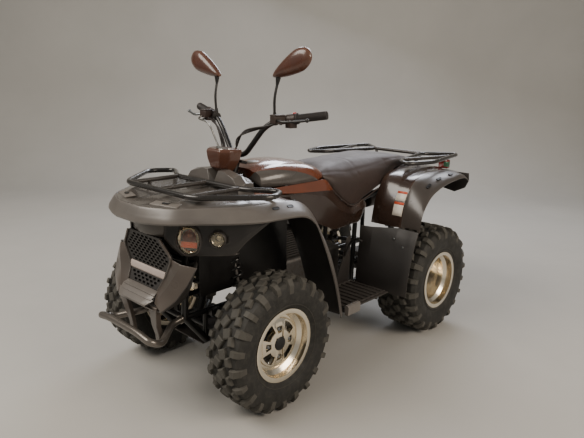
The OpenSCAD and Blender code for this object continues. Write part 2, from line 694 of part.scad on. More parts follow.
// ---------- front body ----------
// Half of the flare's outline, from the front's middle to the foot of the rear leg:
// lip (x, y, z) and seam (x, y, z).
flare = [
  [wide(60, -913, 736), wide(60, -890, 786)],
  [wide(120, -899, 738), wide(115, -876, 787)],
  [wide(200, -862, 742), wide(188, -838, 788)],
  [wide(262, -795, 744), wide(242, -768, 790)],
  [wide(335, -718, 745), wide(300, -690, 791)],
  [wide(392, -630, 746), wide(336, -612, 791)],
  [wide(410, -540, 747), wide(346, -530, 792)],
  [wide(410, -450, 742), wide(346, -440, 788)],
  [wide(406, -390, 727), wide(344, -366, 768)],
  [wide(402, -345, 690), wide(352, -312, 718)],
  [wide(400, -300, 610), wide(370, -262, 622)],
  [wide(400, -255, 515), wide(378, -215, 522)],
  [wide(400, -207, 390), wide(380, -168, 394)],
  [wide(398, -165, 250), wide(380, -128, 250)]];

function flare_ring(s) = let (lip = s[0], rim = s[1], crest = mix(lip, rim, 0.22) + [0, 0, 6])
  [lip, crest, mix(crest, rim, 0.5) + (lip[2] > 700 ? [0, 0, 3] : [0, 0, 0]), rim];

module front_flare() {
  lips = smooth([for (s = flare) s[0]], 2);
  rims = smooth([for (s = flare) s[1]], 2);
  half = [for (i = [0 : len(lips) - 1]) flare_ring([lips[i], rims[i]])];
  left = reversed(half);
  right = [for (ring = half) [for (p = ring) mirrored(p)]];
  color("#5b5854") sheet(concat(left, right), panel_t);
}

deck_rows = 8;
deck_under = flare[4][1][2] - seam - run_gap;
deck_cut = 168;
leg_inner = 196;

module front_fender() {
  rims = smooth([for (s = flare) s[1]], 2);
  deck = [for (i = [0 : 2 * deck_rows]) let (p = rims[i], w = p[0] - seam)
    [for (j = [-4 : 4]) [w * j / 4, p[1] + (i == 0 ? seam : 0), p[2] - seam]]];
  leg = [for (i = [2 * deck_rows - 1 : len(rims) - 1]) let (p = rims[i])
    [for (j = [0 : 3]) [mix(leg_inner, p[0] - seam, j / 3), p[1], p[2] - seam - (i < 2 * deck_rows ? 1 : 0)]]];
  color("#2b2a29") {
    difference() {
      sheet(deck, panel_t);
      translate([-deck_cut, sy(-528) - seam, 700]) cube([2 * deck_cut, 400, 200]);
      both_sides() translate(at(rack_post_x, rack_post_y, 700)) cylinder(h = 200, r = 11);
    }
    both_sides() sheet(leg, panel_t);
  }
}

module nose_cover() {
  // Rings across the nose from front to back: half width, top height.
  rows = [[-528, 167.4, 806], [-520, 167.4, 848], [-503, 167.4, 872], [-480, 167.4, 862], [-459, 167.4, 850], [-448, 167.4, 842]];
  color("#4b4947") loft([for (r = rows) let (y = sy(r[0]), w = r[1], z = r[2], b = 782)
    [[-w, y, b], [-w, y, b + 12], [-w * 0.82, y, mix(b, z, 0.7)], [-w * 0.45, y, z], [0, y, z - (z > 860 ? 14 : 3)],
      [w * 0.45, y, z], [w * 0.82, y, mix(b, z, 0.7)], [w, y, b + 12], [w, y, b]]]);
}

// Grille rows from top to bottom: half width, y, z.
grille_rows = [[98, -838, 667], [152, -826, 600], [113, -824, 527], [96, -850, 474]];
lamp_plan = [[90, -830], [192, -768], [285, -712], [348, -650]];
lamp_rows = [[104, 0, 773], [104, 0, 700], [106, -4, 667], [132, -6, 634], [160, 0, 602]];
apron_rows = [[103.4, 768], [103.4, 715], [97, 668.5]];
module oval_lamp_place() { translate(at(147, -713.5, 667)) rotate([90, 0, 31]) children(); }
module round_lamp_place() { translate(at(240.7, -669, 679)) rotate([90, 0, 36]) children(); }

module lamp_panel() {
  g = [for (r = lamp_rows) [for (k = [0 : 8]) let (x = mix(r[0], 348, k / 8))
    wide(x, lookup(x, lamp_plan) + r[1], r[2] + (r[2] < 650 ? 0.09 * (x - 104) : 0))]];
  color("#33312f") both_sides() difference() {
    sheet([for (row = g) reversed(row)], panel_t);
    oval_lamp_place() scale([43 / 52, 1, 1]) cylinder(h = 160, r = 52);
    round_lamp_place() cylinder(h = 160, r = 26 + seam);
  }
  // Apron over the grille, between the two lamp panels.
  color("#33312f") sheet([for (r = apron_rows) [for (t = [-1 : 0.5 : 1]) at(r[0] * t, -842 + 20.2 * t * t, r[1])]],
    panel_t);
}

module headlights() {
  color("#d9d4c4") both_sides() oval_lamp_place() translate([0, 0, 54])
    scale([42.5 / 51.5, 1, 1]) cylinder(h = 26, r = 51.5);
}

module side_lamps() {
  color("#d9d4c4") both_sides() round_lamp_place() translate([0, 0, 44]) cylinder(h = 34, r = 26);
}

module grille() {
  color("#1a1817") sheet([for (r = reversed(grille_rows)) [for (x = [-1, 1]) at(x * r[0], r[1], r[2])]], panel_t);
}

chin_z = 462;
wing = [[96.5, -850, 474, 148, -876, 414], [113.5, -824, 527, 202, -850, 468],
  [136.5, -825, 570, 228, -822, 520], [152.5, -826, 600, 247, -790, 584]];
module grille_surround() {
  color("#35322f") difference() {
    union() {
      both_sides() {
        sheet([for (r = wing) [at(r[0], r[1], r[2]), at(r[3], r[4], r[5])]], panel_t);
        // Legs, each with a lug on the bumper's arm.
        rod(at(116, -872, 416), at(90, -856, 330), 11);
        rod(at(90, -856, 330), at(88, -846, 262), 10);
        rod(at(90, -854, 318), at(140, -852, 316), 8);
      }
      hull() {
        translate([0, sy(-862), chin_z]) cube([240, 20, 8], center = true);
        translate([0, sy(-900), 428]) cube([176, 8, 6], center = true);
        translate([0, sy(-874), 410]) cube([300, 12, 8], center = true);
      }
    }
    both_sides() rod([rail_x, sy(-738) - 60, 326], at(168, -890, 304), bumper_r + seam);
  }
}

// ---------- middle body ----------
module tank_cover() {
  rows = smooth([[-372, 128, 862], [-320, 150, 878], [-247, 164, 887], [-170, 170, 885], [-104, 168, 878],
    [-50, 160, 862], [-20, 150, 846]], 2);
  b = 797;
  color("#2a211d") loft([for (r = rows) let (y = sy(r[0]), w = r[1], z = r[2])
    [for (k = [0 : 12]) let (a = 180 - 15 * k)
      [w * sign(cos(a)) * pow(abs(cos(a)), 0.7), y, b + (z - b) * pow(sin(a), 0.6)]]]);
}

// Seat rings: middle y, side y, top z, lower edge z, half width.
seat_rows = [
  [30, -8, 826, 796, 152], [75, 40, 842, 738, 166], [130, 105, 850, 684, 174], [190, 178, 853, 648, 178],
  [270, 265, 856, 670, 179], [350, 345, 858, 697, 180], [450, 440, 860, 732, 180], [545, 530, 857, 786, 178],
  [640, 622, 847, 798, 164], [740, 722, 830, 796, 140], [815, 795, 808, 790, 108]];
module seat() {
  color("#2e2a29") difference() {
    loft([for (r = seat_rows) let (w = r[4], z = r[2], e = r[3])
      concat(
        [for (k = [0 : 10]) let (a = 180 - 18 * k, c = cos(a), s = sin(a), t = abs(c))
          [w * sign(c) * pow(t, 0.62), sy(mix(r[0], r[1], t)), e + (z - e) * pow(s, 0.5)]],
        [[0, sy(r[0]), e]])]);
    // Hollow over the frame and the silencer.
    translate([-146, sy(-40), seat_base - 200]) cube([292, sy(600) - sy(-40), 200]);
  }
}

module side_panels() {
  outline = [[-446, 796.5], [-30, 796.5], [-8, 795], [40, 737], [105, 683], [178, 647], [264, 668], [300, 640],
    [250, 560], [60, 552], [-80, 610], [-210, 700], [-330, 740], [-446, 750]];
  color("#3a2a22") both_sides() side_plate([for (p = outline) [sy(p[0]), p[1]]], 164, 164 + panel_t);
}

// ---------- rear body ----------
arch = [
  [wide(465, 312, 548), wide(356, 322, 548)],
  [wide(465, 326, 615), wide(356, 340, 640)],
  [wide(464, 359, 665), wide(357, 372, 712)],
  [wide(463, 413, 708), wide(358, 415, 760)],
  [wide(462, 500, 738), wide(358, 500, 784)],
  [wide(461, 610, 755), wide(358, 610, 790)],
  [wide(460, 722, 760), wide(358, 730, 788)],
  [wide(452, 790, 735), wide(356, 810, 770)]];

module rear_flares() {
  lips = smooth([for (s = arch) s[0]], 2);
  rims = smooth([for (s = arch) s[1]], 2);
  color("#474340") both_sides() sheet([for (i = [len(lips) - 1 : -1 : 0]) let (lip = lips[i], rim = rims[i],
    crest = mix(lip, rim, 0.2) + [0, 0, 8])
    [lip, crest, mix(crest, rim, 0.5) + [0, 0, 4], rim]], panel_t);
}

module rear_fender() {
  rims = smooth([for (s = arch) s[1]], 2);
  color("#2b2826") {
    both_sides() sheet([for (i = [len(rims) - 1 : -1 : 0]) let (p = rims[i])
      [for (k = [0 : 4]) [mix(p[0] - seam, 186, k / 4), p[1], p[2]]]], panel_t);
    difference() {
      translate([-187, sy(560), 770]) cube([374, sy(860) - sy(560), panel_t + 2]);
      both_sides() rod(at(150, 815, rear_rack_z), at(rail_x - 8, 783, 726), 14);
    }
  }
}

module mudguards() {
  rows = [[548, 232, 250, 318, 312, 308], [480, 226, 240, 285, 284, 280], [400, 218, 228, 255, 258, 256],
    [330, 210, 216, 232, 240, 240], [250, 206, 210, 224, 232, 234]];
  xs = [192, 250, 350, 420, 464];
  color("#2b2927") both_sides() sheet([for (r = rows) [for (k = [0 : 4]) wide(xs[k], r[k + 1], r[0] - run_gap)]],
    panel_t);
}

module footwells() {
  color("#2f2d2b") both_sides() {
    // Floor, whose rear edge follows the mudguard.
    translate([0, 0, 262]) linear_extrude(6) polygon([[150, sy(-122)], [sx(386), sy(-122)], [sx(386), sy(227)],
      [sx(350), sy(224) - seam], [250, sy(210) - seam], [192, sy(206) - seam], [150, sy(206) - seam]]);
    translate([sx(385), sy(-122), 247]) cube([20, sy(227) - sy(-122), 46]);
    side_plate([[sy(-122), 262], [sy(206) - seam, 262], [sy(206) - seam, 490], [sy(175), 486], [sy(150), 380],
      [sy(110), 300], [sy(60), 275], [sy(-122), 275]], 150, 154);
  }
}

module tail_lights() {
  color("#8c2a22") both_sides() translate([sx(272), sy(785), 781]) cube([56, 30, 46]);
}

frame();
skid_plate();
engine();
final_drive();
exhaust();
front_wishbones();
rear_wishbones();
shock_absorbers();
rear_uprights();
front_bumper();
grille_surround();
grille();
lamp_panel();
headlights();
side_lamps();
nose_cover();
front_fender();
front_flare();
front_rack();
tank_cover();
side_panels();
seat();
rear_fender();
rear_flares();
mudguards();
footwells();
rear_rack();
tail_lights();
steering_stem();
handlebar();
grips();
hand_controls();
mirrors();
instrument_pod();
left_knuckle();
right_knuckle();
left_tie_rod();
right_tie_rod();
front_left_tyre();
front_right_tyre();
rear_left_tyre();
rear_right_tyre();
front_left_rim();
front_right_rim();
rear_left_rim();
rear_right_rim();
left_half_shaft();
right_half_shaft();
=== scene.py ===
import math
import random

import bmesh
import bpy
from bpy.props import FloatProperty, FloatVectorProperty, IntProperty, PointerProperty
from mathutils import Matrix, Vector
from mathutils.kdtree import KDTree


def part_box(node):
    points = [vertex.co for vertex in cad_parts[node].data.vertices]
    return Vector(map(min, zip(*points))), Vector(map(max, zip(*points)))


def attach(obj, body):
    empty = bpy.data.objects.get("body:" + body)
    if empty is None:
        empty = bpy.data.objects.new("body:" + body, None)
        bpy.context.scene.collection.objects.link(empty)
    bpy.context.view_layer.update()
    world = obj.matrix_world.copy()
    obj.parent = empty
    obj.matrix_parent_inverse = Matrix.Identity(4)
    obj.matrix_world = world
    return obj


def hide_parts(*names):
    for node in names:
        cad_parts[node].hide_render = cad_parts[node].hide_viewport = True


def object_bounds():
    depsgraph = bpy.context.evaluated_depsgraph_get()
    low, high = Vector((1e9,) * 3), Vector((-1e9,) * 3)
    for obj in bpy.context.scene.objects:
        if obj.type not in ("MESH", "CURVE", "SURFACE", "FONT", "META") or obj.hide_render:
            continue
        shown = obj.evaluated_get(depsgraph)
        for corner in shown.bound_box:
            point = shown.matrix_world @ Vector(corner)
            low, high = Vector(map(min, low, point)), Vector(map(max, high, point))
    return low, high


bl_info = {
    "name": "Utility Quad Bike",
    "version": (1, 0, 0),
    "blender": (4, 5, 0),
    "location": "View3D > Sidebar > Quad bike",
    "description": "Bodywork, wheels, seat and controls of a utility quad bike round its frame",
    "category": "Add Mesh",
}

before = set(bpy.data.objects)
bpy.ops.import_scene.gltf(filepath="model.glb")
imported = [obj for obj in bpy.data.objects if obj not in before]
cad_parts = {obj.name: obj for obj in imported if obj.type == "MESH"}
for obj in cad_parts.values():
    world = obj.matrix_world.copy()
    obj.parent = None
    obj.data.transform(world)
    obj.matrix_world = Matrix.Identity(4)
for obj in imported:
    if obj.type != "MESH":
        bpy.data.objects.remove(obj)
CAD_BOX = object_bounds()
MM = 0.001
HALF_WHEELBASE = 0.528
STEM_LEAN = math.radians(19)
HANDLEBAR_TUBE = 0.0109
RACK_TUBE = 0.0102
LEFT, RIGHT = 1, -1
SIDE_NAME = {LEFT: "left", RIGHT: "right"}


# ---------- small maths ----------
def mm(x, y, z):
    """A point given in millimetres."""
    return Vector((x, y, z)) * MM


def mix(a, b, t):
    return a + (b - a) * t


def at_height(table, z):
    """Value at z in a table of (z, value) from high to low."""
    for (z1, a), (z0, b) in zip(table, table[1:]):
        if z >= z0:
            return mix(b, a, min(1.0, (z - z0) / (z1 - z0)))
    return table[-1][1]


def spline(points, steps):
    """Smooth curve through points, each a vector."""
    out = []
    for i in range(len(points) - 1):
        a, b = points[max(i - 1, 0)], points[i]
        c, d = points[i + 1], points[min(i + 2, len(points) - 1)]
        for k in range(steps):
            t = k / steps
            out.append(0.5 * (2 * b + (c - a) * t + (2 * a - 5 * b + 4 * c - d) * t * t
                              + (3 * b - a - 3 * c + d) * t ** 3))
    return out + [points[-1].copy()]


def flipped(point):
    return Vector((-point.x, point.y, point.z))


def rounded(points, radius, closed=False, steps=6):
    """The same path with each corner turned into an arc."""
    n = len(points)
    out = []
    for i, p in enumerate(points):
        if not closed and i in (0, n - 1):
            out.append(p.copy())
            continue
        a, b = points[i - 1] - p, points[(i + 1) % n] - p
        reach = min(radius, a.length * 0.45, b.length * 0.45)
        start, end = p + a.normalized() * reach, p + b.normalized() * reach
        for k in range(steps + 1):
            t = k / steps
            out.append(mix(mix(start, p, t), mix(p, end, t), t))
    return out


# ---------- meshes ----------
def piece(name, mesh, material, body, replaces=(), smooth_angle=35.0):
    """Links a mesh as a piece that rides on a body, shaded smooth up to an angle."""
    if isinstance(mesh, bmesh.types.BMesh):
        bm, mesh = mesh, bpy.data.meshes.new(name)
        bmesh.ops.recalc_face_normals(bm, faces=bm.faces)
        bm.to_mesh(mesh)
        bm.free()
    for m in material if isinstance(material, (list, tuple)) else [material]:
        mesh.materials.append(m)
    mesh.polygons.foreach_set("use_smooth", [smooth_angle > 0] * len(mesh.polygons))
    if smooth_angle > 0:
        mesh.set_sharp_from_angle(angle=math.radians(smooth_angle))
    obj = bpy.data.objects.new(name, mesh)
    bpy.context.scene.collection.objects.link(obj)
    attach(obj, body)
    if replaces:
        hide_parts(*replaces)
    return obj


def modifier(obj, kind, **settings):
    m = obj.modifiers.new(kind.title(), kind)
    for key, value in settings.items():
        setattr(m, key, value)
    return m


def add_grid(bm, rows, closed=False):
    """Quads over a grid of points; closed joins the last column to the first."""
    verts = [[bm.verts.new(p) for p in row] for row in rows]
    n = len(rows[0])
    for a, b in zip(verts, verts[1:]):
        for j in range(n if closed else n - 1):
            k = (j + 1) % n
            bm.faces.new((a[j], a[k], b[k], b[j]))
    return verts


def sweep(bm, path, radius, closed=False, sides=14, caps=True):
    """Round tube along a path; radius may be a list with one value per point."""
    n = len(path)
    radii = radius if isinstance(radius, (list, tuple)) else [radius] * n
    rings = []
    side = None
    for i, p in enumerate(path):
        before = path[i - 1] if closed or i else path[0]
        after = path[(i + 1) % n] if closed or i < n - 1 else path[-1]
        along = (after - before).normalized()
        if side is None:
            side = along.orthogonal().normalized()
        side = (side - along * side.dot(along)).normalized()
        other = along.cross(side)
        rings.append([p + radii[i] * (side * math.cos(2 * math.pi * k / sides)
                                      + other * math.sin(2 * math.pi * k / sides)) for k in range(sides)])
    if closed:
        twist = min(range(sides), key=lambda s: (rings[0][s] - rings[-1][0]).length)
        rings.append([rings[0][(k + twist) % sides] for k in range(sides)])
    verts = add_grid(bm, rings, closed=True)
    if closed:
        bmesh.ops.remove_doubles(bm, verts=verts[0] + verts[-1], dist=1e-7)
    elif caps:
        bm.faces.new(verts[0])
        bm.faces.new(verts[-1])


def add_box(bm, centre, size, turn=None):
    m = Matrix.Translation(centre) @ (turn.to_4x4() if turn else Matrix()) @ Matrix.Diagonal((*size, 1))
    return bmesh.ops.create_cube(bm, size=1, matrix=m)["verts"]


def add_drum(bm, start, end, r1, r2=None, sides=32):
    """Cylinder or cone between two points."""
    sweep(bm, [start, end], [r1, r1 if r2 is None else r2], sides=sides)


def add_turned(bm, profile, place, sides=96, closed=True):
    """Solid of revolution about the local Z axis from (radius, height) points."""
    rows = []
    for k in range(sides):
        a = 2 * math.pi * k / sides
        rows.append([place @ Vector((r * math.cos(a), r * math.sin(a), h)) for r, h in profile])
    verts = [[bm.verts.new(p) for p in row] for row in rows]
    n = len(profile)
    for i in range(sides):
        a, b = verts[i], verts[(i + 1) % sides]
        for j in range(n if closed else n - 1):
            k = (j + 1) % n
            bm.faces.new((a[j], a[k], b[k], b[j]))


def sheet_piece(name, rows, thickness, material, body, replaces=(), angle=35.0, level=0, edge=0.0012):
    """Panel of even thickness under a grid of surface points, with softened edges."""
    bm = bmesh.new()
    add_grid(bm, rows)
    obj = piece(name, bm, material, body, replaces, angle)
    if level:
        modifier(obj, "SUBSURF", levels=level, render_levels=level)
    modifier(obj, "SOLIDIFY", thickness=thickness, offset=-1.0, use_even_offset=False)
    modifier(obj, "BEVEL", width=edge, segments=2, limit_method="ANGLE", angle_limit=math.radians(50))
    return obj


def cut_plate(outline, holes, thickness, edge):
    """Flat plate with holes as a mesh in its own XY plane; all outlines are lists of (x, y)."""
    curve = bpy.data.curves.new("outline", "CURVE")
    curve.dimensions = "2D"
    curve.fill_mode = "BOTH"
    curve.extrude = thickness / 2 - edge
    curve.bevel_depth = edge
    curve.bevel_resolution = 1
    for points in [outline, *holes]:
        s = curve.splines.new("POLY")
        s.points.add(len(points) - 1)
        for q, (x, y) in zip(s.points, points):
            q.co = (x, y, 0, 1)
        s.use_cyclic_u = True
    temp = bpy.data.objects.new("outline", curve)
    bpy.context.scene.collection.objects.link(temp)
    mesh = bpy.data.meshes.new_from_object(temp.evaluated_get(bpy.context.evaluated_depsgraph_get()))
    bpy.data.objects.remove(temp)
    bpy.data.curves.remove(curve)
    bm = bmesh.new()
    bm.from_mesh(mesh)
    bpy.data.meshes.remove(mesh)
    bmesh.ops.remove_doubles(bm, verts=bm.verts, dist=1e-6)
    return bm


def circle(radius, count, cx=0.0, cy=0.0):
    return [(cx + radius * math.cos(2 * math.pi * k / count), cy + radius * math.sin(2 * math.pi * k / count))
            for k in range(count)]


# ---------- materials ----------
def linear(code):
    """sRGB hex to linear colour."""
    values = [int(code[i:i + 2], 16) / 255 for i in (1, 3, 5)]
    return [v / 12.92 if v <= 0.04045 else ((v + 0.055) / 1.055) ** 2.4 for v in values] + [1.0]


def add(tree, kind, links=None, **settings):
    """Adds a node; links maps an input to a value or to (node, output)."""
    node = tree.nodes.new(kind)
    for key, value in settings.items():
        setattr(node, key, value)
    for socket, source in (links or {}).items():
        if isinstance(source, tuple) and isinstance(source[0], bpy.types.Node):
            tree.links.new(source[0].outputs[source[1]], node.inputs[socket])
        else:
            node.inputs[socket].default_value = source
    return node


MADE = {}


def material(name, colour, second, patch=120.0, rough=(0.35, 0.5), metallic=0.0, grain=1.5, depth=0.15,
             coat=0.0, coat_rough=0.1, ior=1.49, wear=None, stretch=(1, 1, 1), dust=None, sheen=0.0):
    """Solid finish: colour drifts over patches, fine grain bump, roughness drift, lighter worn edges and dust.
    patch and grain are sizes in millimetres, depth the height of the grain in millimetres."""
    if name in MADE:
        return MADE[name]
    m = MADE[name] = bpy.data.materials.new(name)
    m.use_nodes = True
    t = m.node_tree
    t.nodes.clear()
    where = add(t, "ShaderNodeTexCoord")
    scaled = add(t, "ShaderNodeMapping", {"Vector": (where, "Object"), "Scale": stretch})
    drift = add(t, "ShaderNodeTexNoise", {"Vector": (scaled, 0), "Scale": 1000 / patch, "Detail": 4.0,
                                          "Roughness": 0.6})
    tone = add(t, "ShaderNodeMix", {0: (drift, "Fac"), 6: linear(colour), 7: linear(second)},
               data_type="RGBA")
    last = (tone, 2)
    if dust:
        fleck = add(t, "ShaderNodeTexNoise", {"Vector": (where, "Object"), "Scale": 55.0, "Detail": 6.0,
                                              "Roughness": 0.7})
        step = add(t, "ShaderNodeMapRange", {"Value": (fleck, "Fac"), "From Min": 0.48, "From Max": 0.72,
                                             "To Max": 0.75})
        dusty = add(t, "ShaderNodeMix", {0: (step, 0), 6: last, 7: linear(dust)}, data_type="RGBA")
        last = (dusty, 2)
    if wear:
        shape = add(t, "ShaderNodeNewGeometry")
        edge = add(t, "ShaderNodeMapRange",
                   {"Value": (shape, "Pointiness"), "From Min": 0.52, "From Max": 0.62,
                                             "To Max": 0.6})
        worn = add(t, "ShaderNodeMix", {0: (edge, 0), 6: last, 7: linear(wear)}, data_type="RGBA")
        last = (worn, 2)
    haze = add(t, "ShaderNodeMapRange", {"Value": (drift, "Fac"), "To Min": rough[0], "To Max": rough[1],
                                         "From Min": 0.3, "From Max": 0.7})
    fine = add(t, "ShaderNodeTexNoise", {"Vector": (scaled, 0), "Scale": 1000 / grain, "Detail": 3.0})
    bump = add(t, "ShaderNodeBump", {"Height": (fine, "Fac"), "Distance": depth * MM, "Strength": 0.5})
    shader = add(t, "ShaderNodeBsdfPrincipled", {
        "Base Color": last, "Roughness": (haze, 0), "Metallic": metallic, "Normal": (bump, 0),
        "Coat Weight": coat, "Coat Roughness": coat_rough, "Sheen Weight": sheen})
    if metallic < 0.5:
        shader.inputs["IOR"].default_value = ior
    out = add(t, "ShaderNodeOutputMaterial", {"Surface": (shader, 0)})
    out.location = (300, 0)
    return m


def lens(name, colour, rough=0.02):
    """Clear moulded polycarbonate, with fine flutes; it lets the reflector behind shine through."""
    if name in MADE:
        return MADE[name]
    m = MADE[name] = bpy.data.materials.new(name)
    m.use_nodes = True
    t = m.node_tree
    t.nodes.clear()
    where = add(t, "ShaderNodeTexCoord")
    # Flutes 4 mm apart.
    flute = add(t, "ShaderNodeTexWave", {"Vector": (where, "Object"), "Scale": 40.0, "Distortion": 0.0})
    bump = add(t, "ShaderNodeBump", {"Height": (flute, "Fac"), "Distance": 0.0006, "Strength": 0.6})
    shader = add(t, "ShaderNodeBsdfPrincipled", {
        "Base Color": linear(colour), "Roughness": rough, "Transmission Weight": 1.0, "IOR": 1.58,
        "Normal": (bump, 0)})
    add(t, "ShaderNodeOutputMaterial", {"Surface": (shader, 0)})
    return m


def deck_plastic():
    """Polypropylene, gloss moulded: facets mirror the lights, fine orange peel."""
    c = bpy.context.scene.quad_colours
    return material("Polypropylene gloss moulded", hexed(c.deck), "#2c2927", 160, (0.16, 0.3), coat=0.35,
                    grain=4.0, depth=0.05, wear="#6d6763")


def flare_plastic():
    """Polypropylene, satin moulded: soft broad highlights on the flares, from the satin coat and from a
    painted highlight that lightens the grey beyond the plastic's own darker grey.
    """
    c = bpy.context.scene.quad_colours
    return material("Polypropylene satin moulded", hexed(c.flare), "#3d3936", 220, (0.3, 0.42), coat=0.15,
                    coat_rough=0.3, grain=1.2, depth=0.08, wear="#8a837d")


def rear_plastic():
    """The same plastic on the rear, browner all over: partly the plastic's own dark brown, partly a painted
    brown reflection of the ground.
    """
    return material("Polypropylene satin moulded brown", "#4a443f", "#302b28", 200, (0.26, 0.4), coat=0.2,
                    coat_rough=0.25, grain=1.2, depth=0.08, wear="#75695f")


def dark_plastic():
    """Polypropylene, grained in the mould: matte, with a leathery 1.5 mm grain."""
    return material("Polypropylene grained moulded", "#2a2725", "#1b1918", 140, (0.42, 0.6), grain=1.5,
                    depth=0.35, wear="#5b5550")


def brown_gloss():
    """ABS, painted gloss: deep brown under a clear coat, lifted to orange brown by a painted orange reflection
    in the tank colour.
    """
    c = bpy.context.scene.quad_colours
    return material("ABS painted gloss brown", hexed(c.tank), "#452313", 260, (0.2, 0.3), coat=1.0,
                    coat_rough=0.06, grain=5.0, depth=0.03)


def copper_plastic():
    """ABS, moulded and tinted copper brown: smooth, with a clear highlight."""
    return material("ABS moulded copper brown", "#5a3424", "#38211a", 60, (0.22, 0.36), coat=0.4, grain=1.5,
                    depth=0.05, wear="#84604c")


def control_plastic():
    """Nylon, glass filled and moulded: dark brown, slightly rough."""
    return material("Nylon glass filled moulded", "#3a2a23", "#261c18", 40, (0.4, 0.55), grain=1.0,
                    depth=0.15)


def fender_plastic():
    """Polypropylene, gloss moulded dark brown: the rear fender beside the seat."""
    return material("Polypropylene gloss moulded brown", "#3a2a22", "#231a16", 200, (0.18, 0.3), coat=0.45,
                    grain=2.0, depth=0.05, wear="#7a6152")


def vinyl():
    """PVC leathercloth, calendered: pebbled grain about 2 mm across, soft sheen."""
    c = bpy.context.scene.quad_colours
    return material("PVC leathercloth calendered", hexed(c.seat), "#2a201c", 90, (0.46, 0.62), grain=2.2,
                    depth=0.5, sheen=0.08, wear="#6a5a53")


def tyre_rubber():
    """Natural rubber, vulcanised: dull, with dry dust in the grain."""
    return material("Rubber vulcanised dusty", "#2a2926", "#191918", 60, (0.62, 0.85), grain=2.5, depth=0.3,
                    wear="#57544d", dust="#3c3a34")


def moulded_rubber():
    """Thermoplastic rubber, moulded."""
    return material("Thermoplastic rubber moulded", "#2d2826", "#1f1b1a", 30, (0.55, 0.7), grain=1.0,
                    depth=0.15)


def polished_alloy():
    """Aluminium, cast and machine polished: bright, with a fine grain; its warm cream tint is a painted warm
    reflection.
    """
    c = bpy.context.scene.quad_colours
    return material("Aluminium cast polished", hexed(c.rim), "#e2d6c0", 45, (0.14, 0.26), metallic=1.0,
                    grain=1.4, depth=0.02)


def rack_steel():
    """Steel tube, powder coated: black with a slight orange peel and a clear highlight."""
    return material("Steel tube powder coated", "#1d1b1a", "#131211", 80, (0.2, 0.32), coat=0.3, grain=1.6,
                    depth=0.06, wear="#4a4541")


def bumper_steel():
    """Steel tube, painted satin silver grey."""
    return material("Steel tube painted satin", "#77716b", "#5a5550", 90, (0.26, 0.4), metallic=0.7,
                    grain=1.5,
                    depth=0.05, wear="#a39c94")


def black_steel():
    """Steel, painted black."""
    return material("Steel painted black", "#151414", "#0d0d0d", 90, (0.3, 0.5), coat=0.2, grain=2.0,
                    depth=0.08,
                    wear="#3a3633")


def zinc_steel():
    """Steel, zinc plated: cool grey, slightly mottled."""
    return material("Steel zinc plated", "#8d9092", "#6b6e70", 20, (0.3, 0.5), metallic=1.0, grain=1.0,
                    depth=0.04)


def cast_alloy():
    """Aluminium, sand cast: grey and rough."""
    return material("Aluminium sand cast", "#6b6967", "#4c4a48", 35, (0.45, 0.65), metallic=0.8, grain=1.2,
                    depth=0.25, dust="#4a4036")


def chrome():
    """Steel, chrome plated."""
    return material("Steel chrome plated", "#d9d7d2", "#bdbab4", 60, (0.06, 0.12), metallic=1.0, grain=3.0,
                    depth=0.01)


def hexed(colour):
    return "#" + "".join(f"{round(255 * max(0.0, min(1.0, c))):02x}" for c in colour[:3])


# ---------- settings ----------
def rgb(name, description, code):
    return FloatVectorProperty(name=name, description=description, subtype="COLOR_GAMMA", size=3, min=0,
                               max=1,
                               default=[int(code[i:i + 2], 16) / 255 for i in (1, 3, 5)])


class QuadColours(bpy.types.PropertyGroup):
    """Colours of the quad bike, as sRGB."""
    deck: rgb("Deck", "Glossy faceted deck and nose", "#67625d")
    # The flare grey is lighter than the plastic's own darker grey: a painted highlight.
    flare: rgb("Flare", "Front band over the wheels", "#726d68")
    # The tank's orange brown is partly the cover's own brown, partly a painted orange reflection.
    tank: rgb("Tank", "Tank cover and side panels", "#84411c")
    seat: rgb("Seat", "Seat cover", "#35251f")
    # The rims' warm cream tint is a painted warm reflection on plain aluminium.
    rim: rgb("Rim", "Polished wheel rims", "#f3ecdd")


class QuadSizes(bpy.types.PropertyGroup):
    """Sizes of the visible details."""
    lug_height: FloatProperty(name="Lug height", description="Height of the tread lugs", default=0.013,
                              min=0.006, max=0.02, unit="LENGTH")
    front_pitches: IntProperty(name="Front lugs", description="Tread pitches round a front tyre", default=22)
    rear_pitches: IntProperty(name="Rear lugs", description="Tread pitches round a rear tyre", default=22)
    panel: FloatProperty(name="Panel", description="Thickness of the moulded panels", default=0.0035,
                         min=0.002, max=0.006, unit="LENGTH")
    coil_wire: FloatProperty(name="Coil wire", description="Radius of the spring wire", default=0.0048,
                             min=0.003, max=0.007, unit="LENGTH")
    spring_turns: FloatProperty(name="Spring turns", description="Turns of each coil spring", default=8.0)
    seat_fill: FloatProperty(name="Seat fill", description="How tight the seat is stuffed", default=0.8,
                             min=0, max=1)
    wall_gap: FloatProperty(name="Tube bend", description="Bend radius of rack tubes", default=0.045,
                            min=0.02, max=0.08, unit="LENGTH")


def sizes():
    return bpy.context.scene.quad_sizes


# ---------- stage ----------
CAMERA_PLACE = Vector((1.7411, -1.9142, 1.2201))
CAMERA_AZIMUTH, CAMERA_PITCH, CAMERA_ROLL = 43.05, 13.9, 1.13
CAMERA_LENS = 34.70


def area_light(name, place, aim, size, power, colour):
    data = bpy.data.lights.new(name, "AREA")
    data.shape = "RECTANGLE"
    data.size, data.size_y = size
    data.energy = power
    data.color = linear(colour)[:3]
    obj = bpy.data.objects.new(name, data)
    bpy.context.scene.collection.objects.link(obj)
    obj.location = place
    obj.rotation_euler = (Vector(aim) - Vector(place)).to_track_quat("-Z", "Y").to_euler()


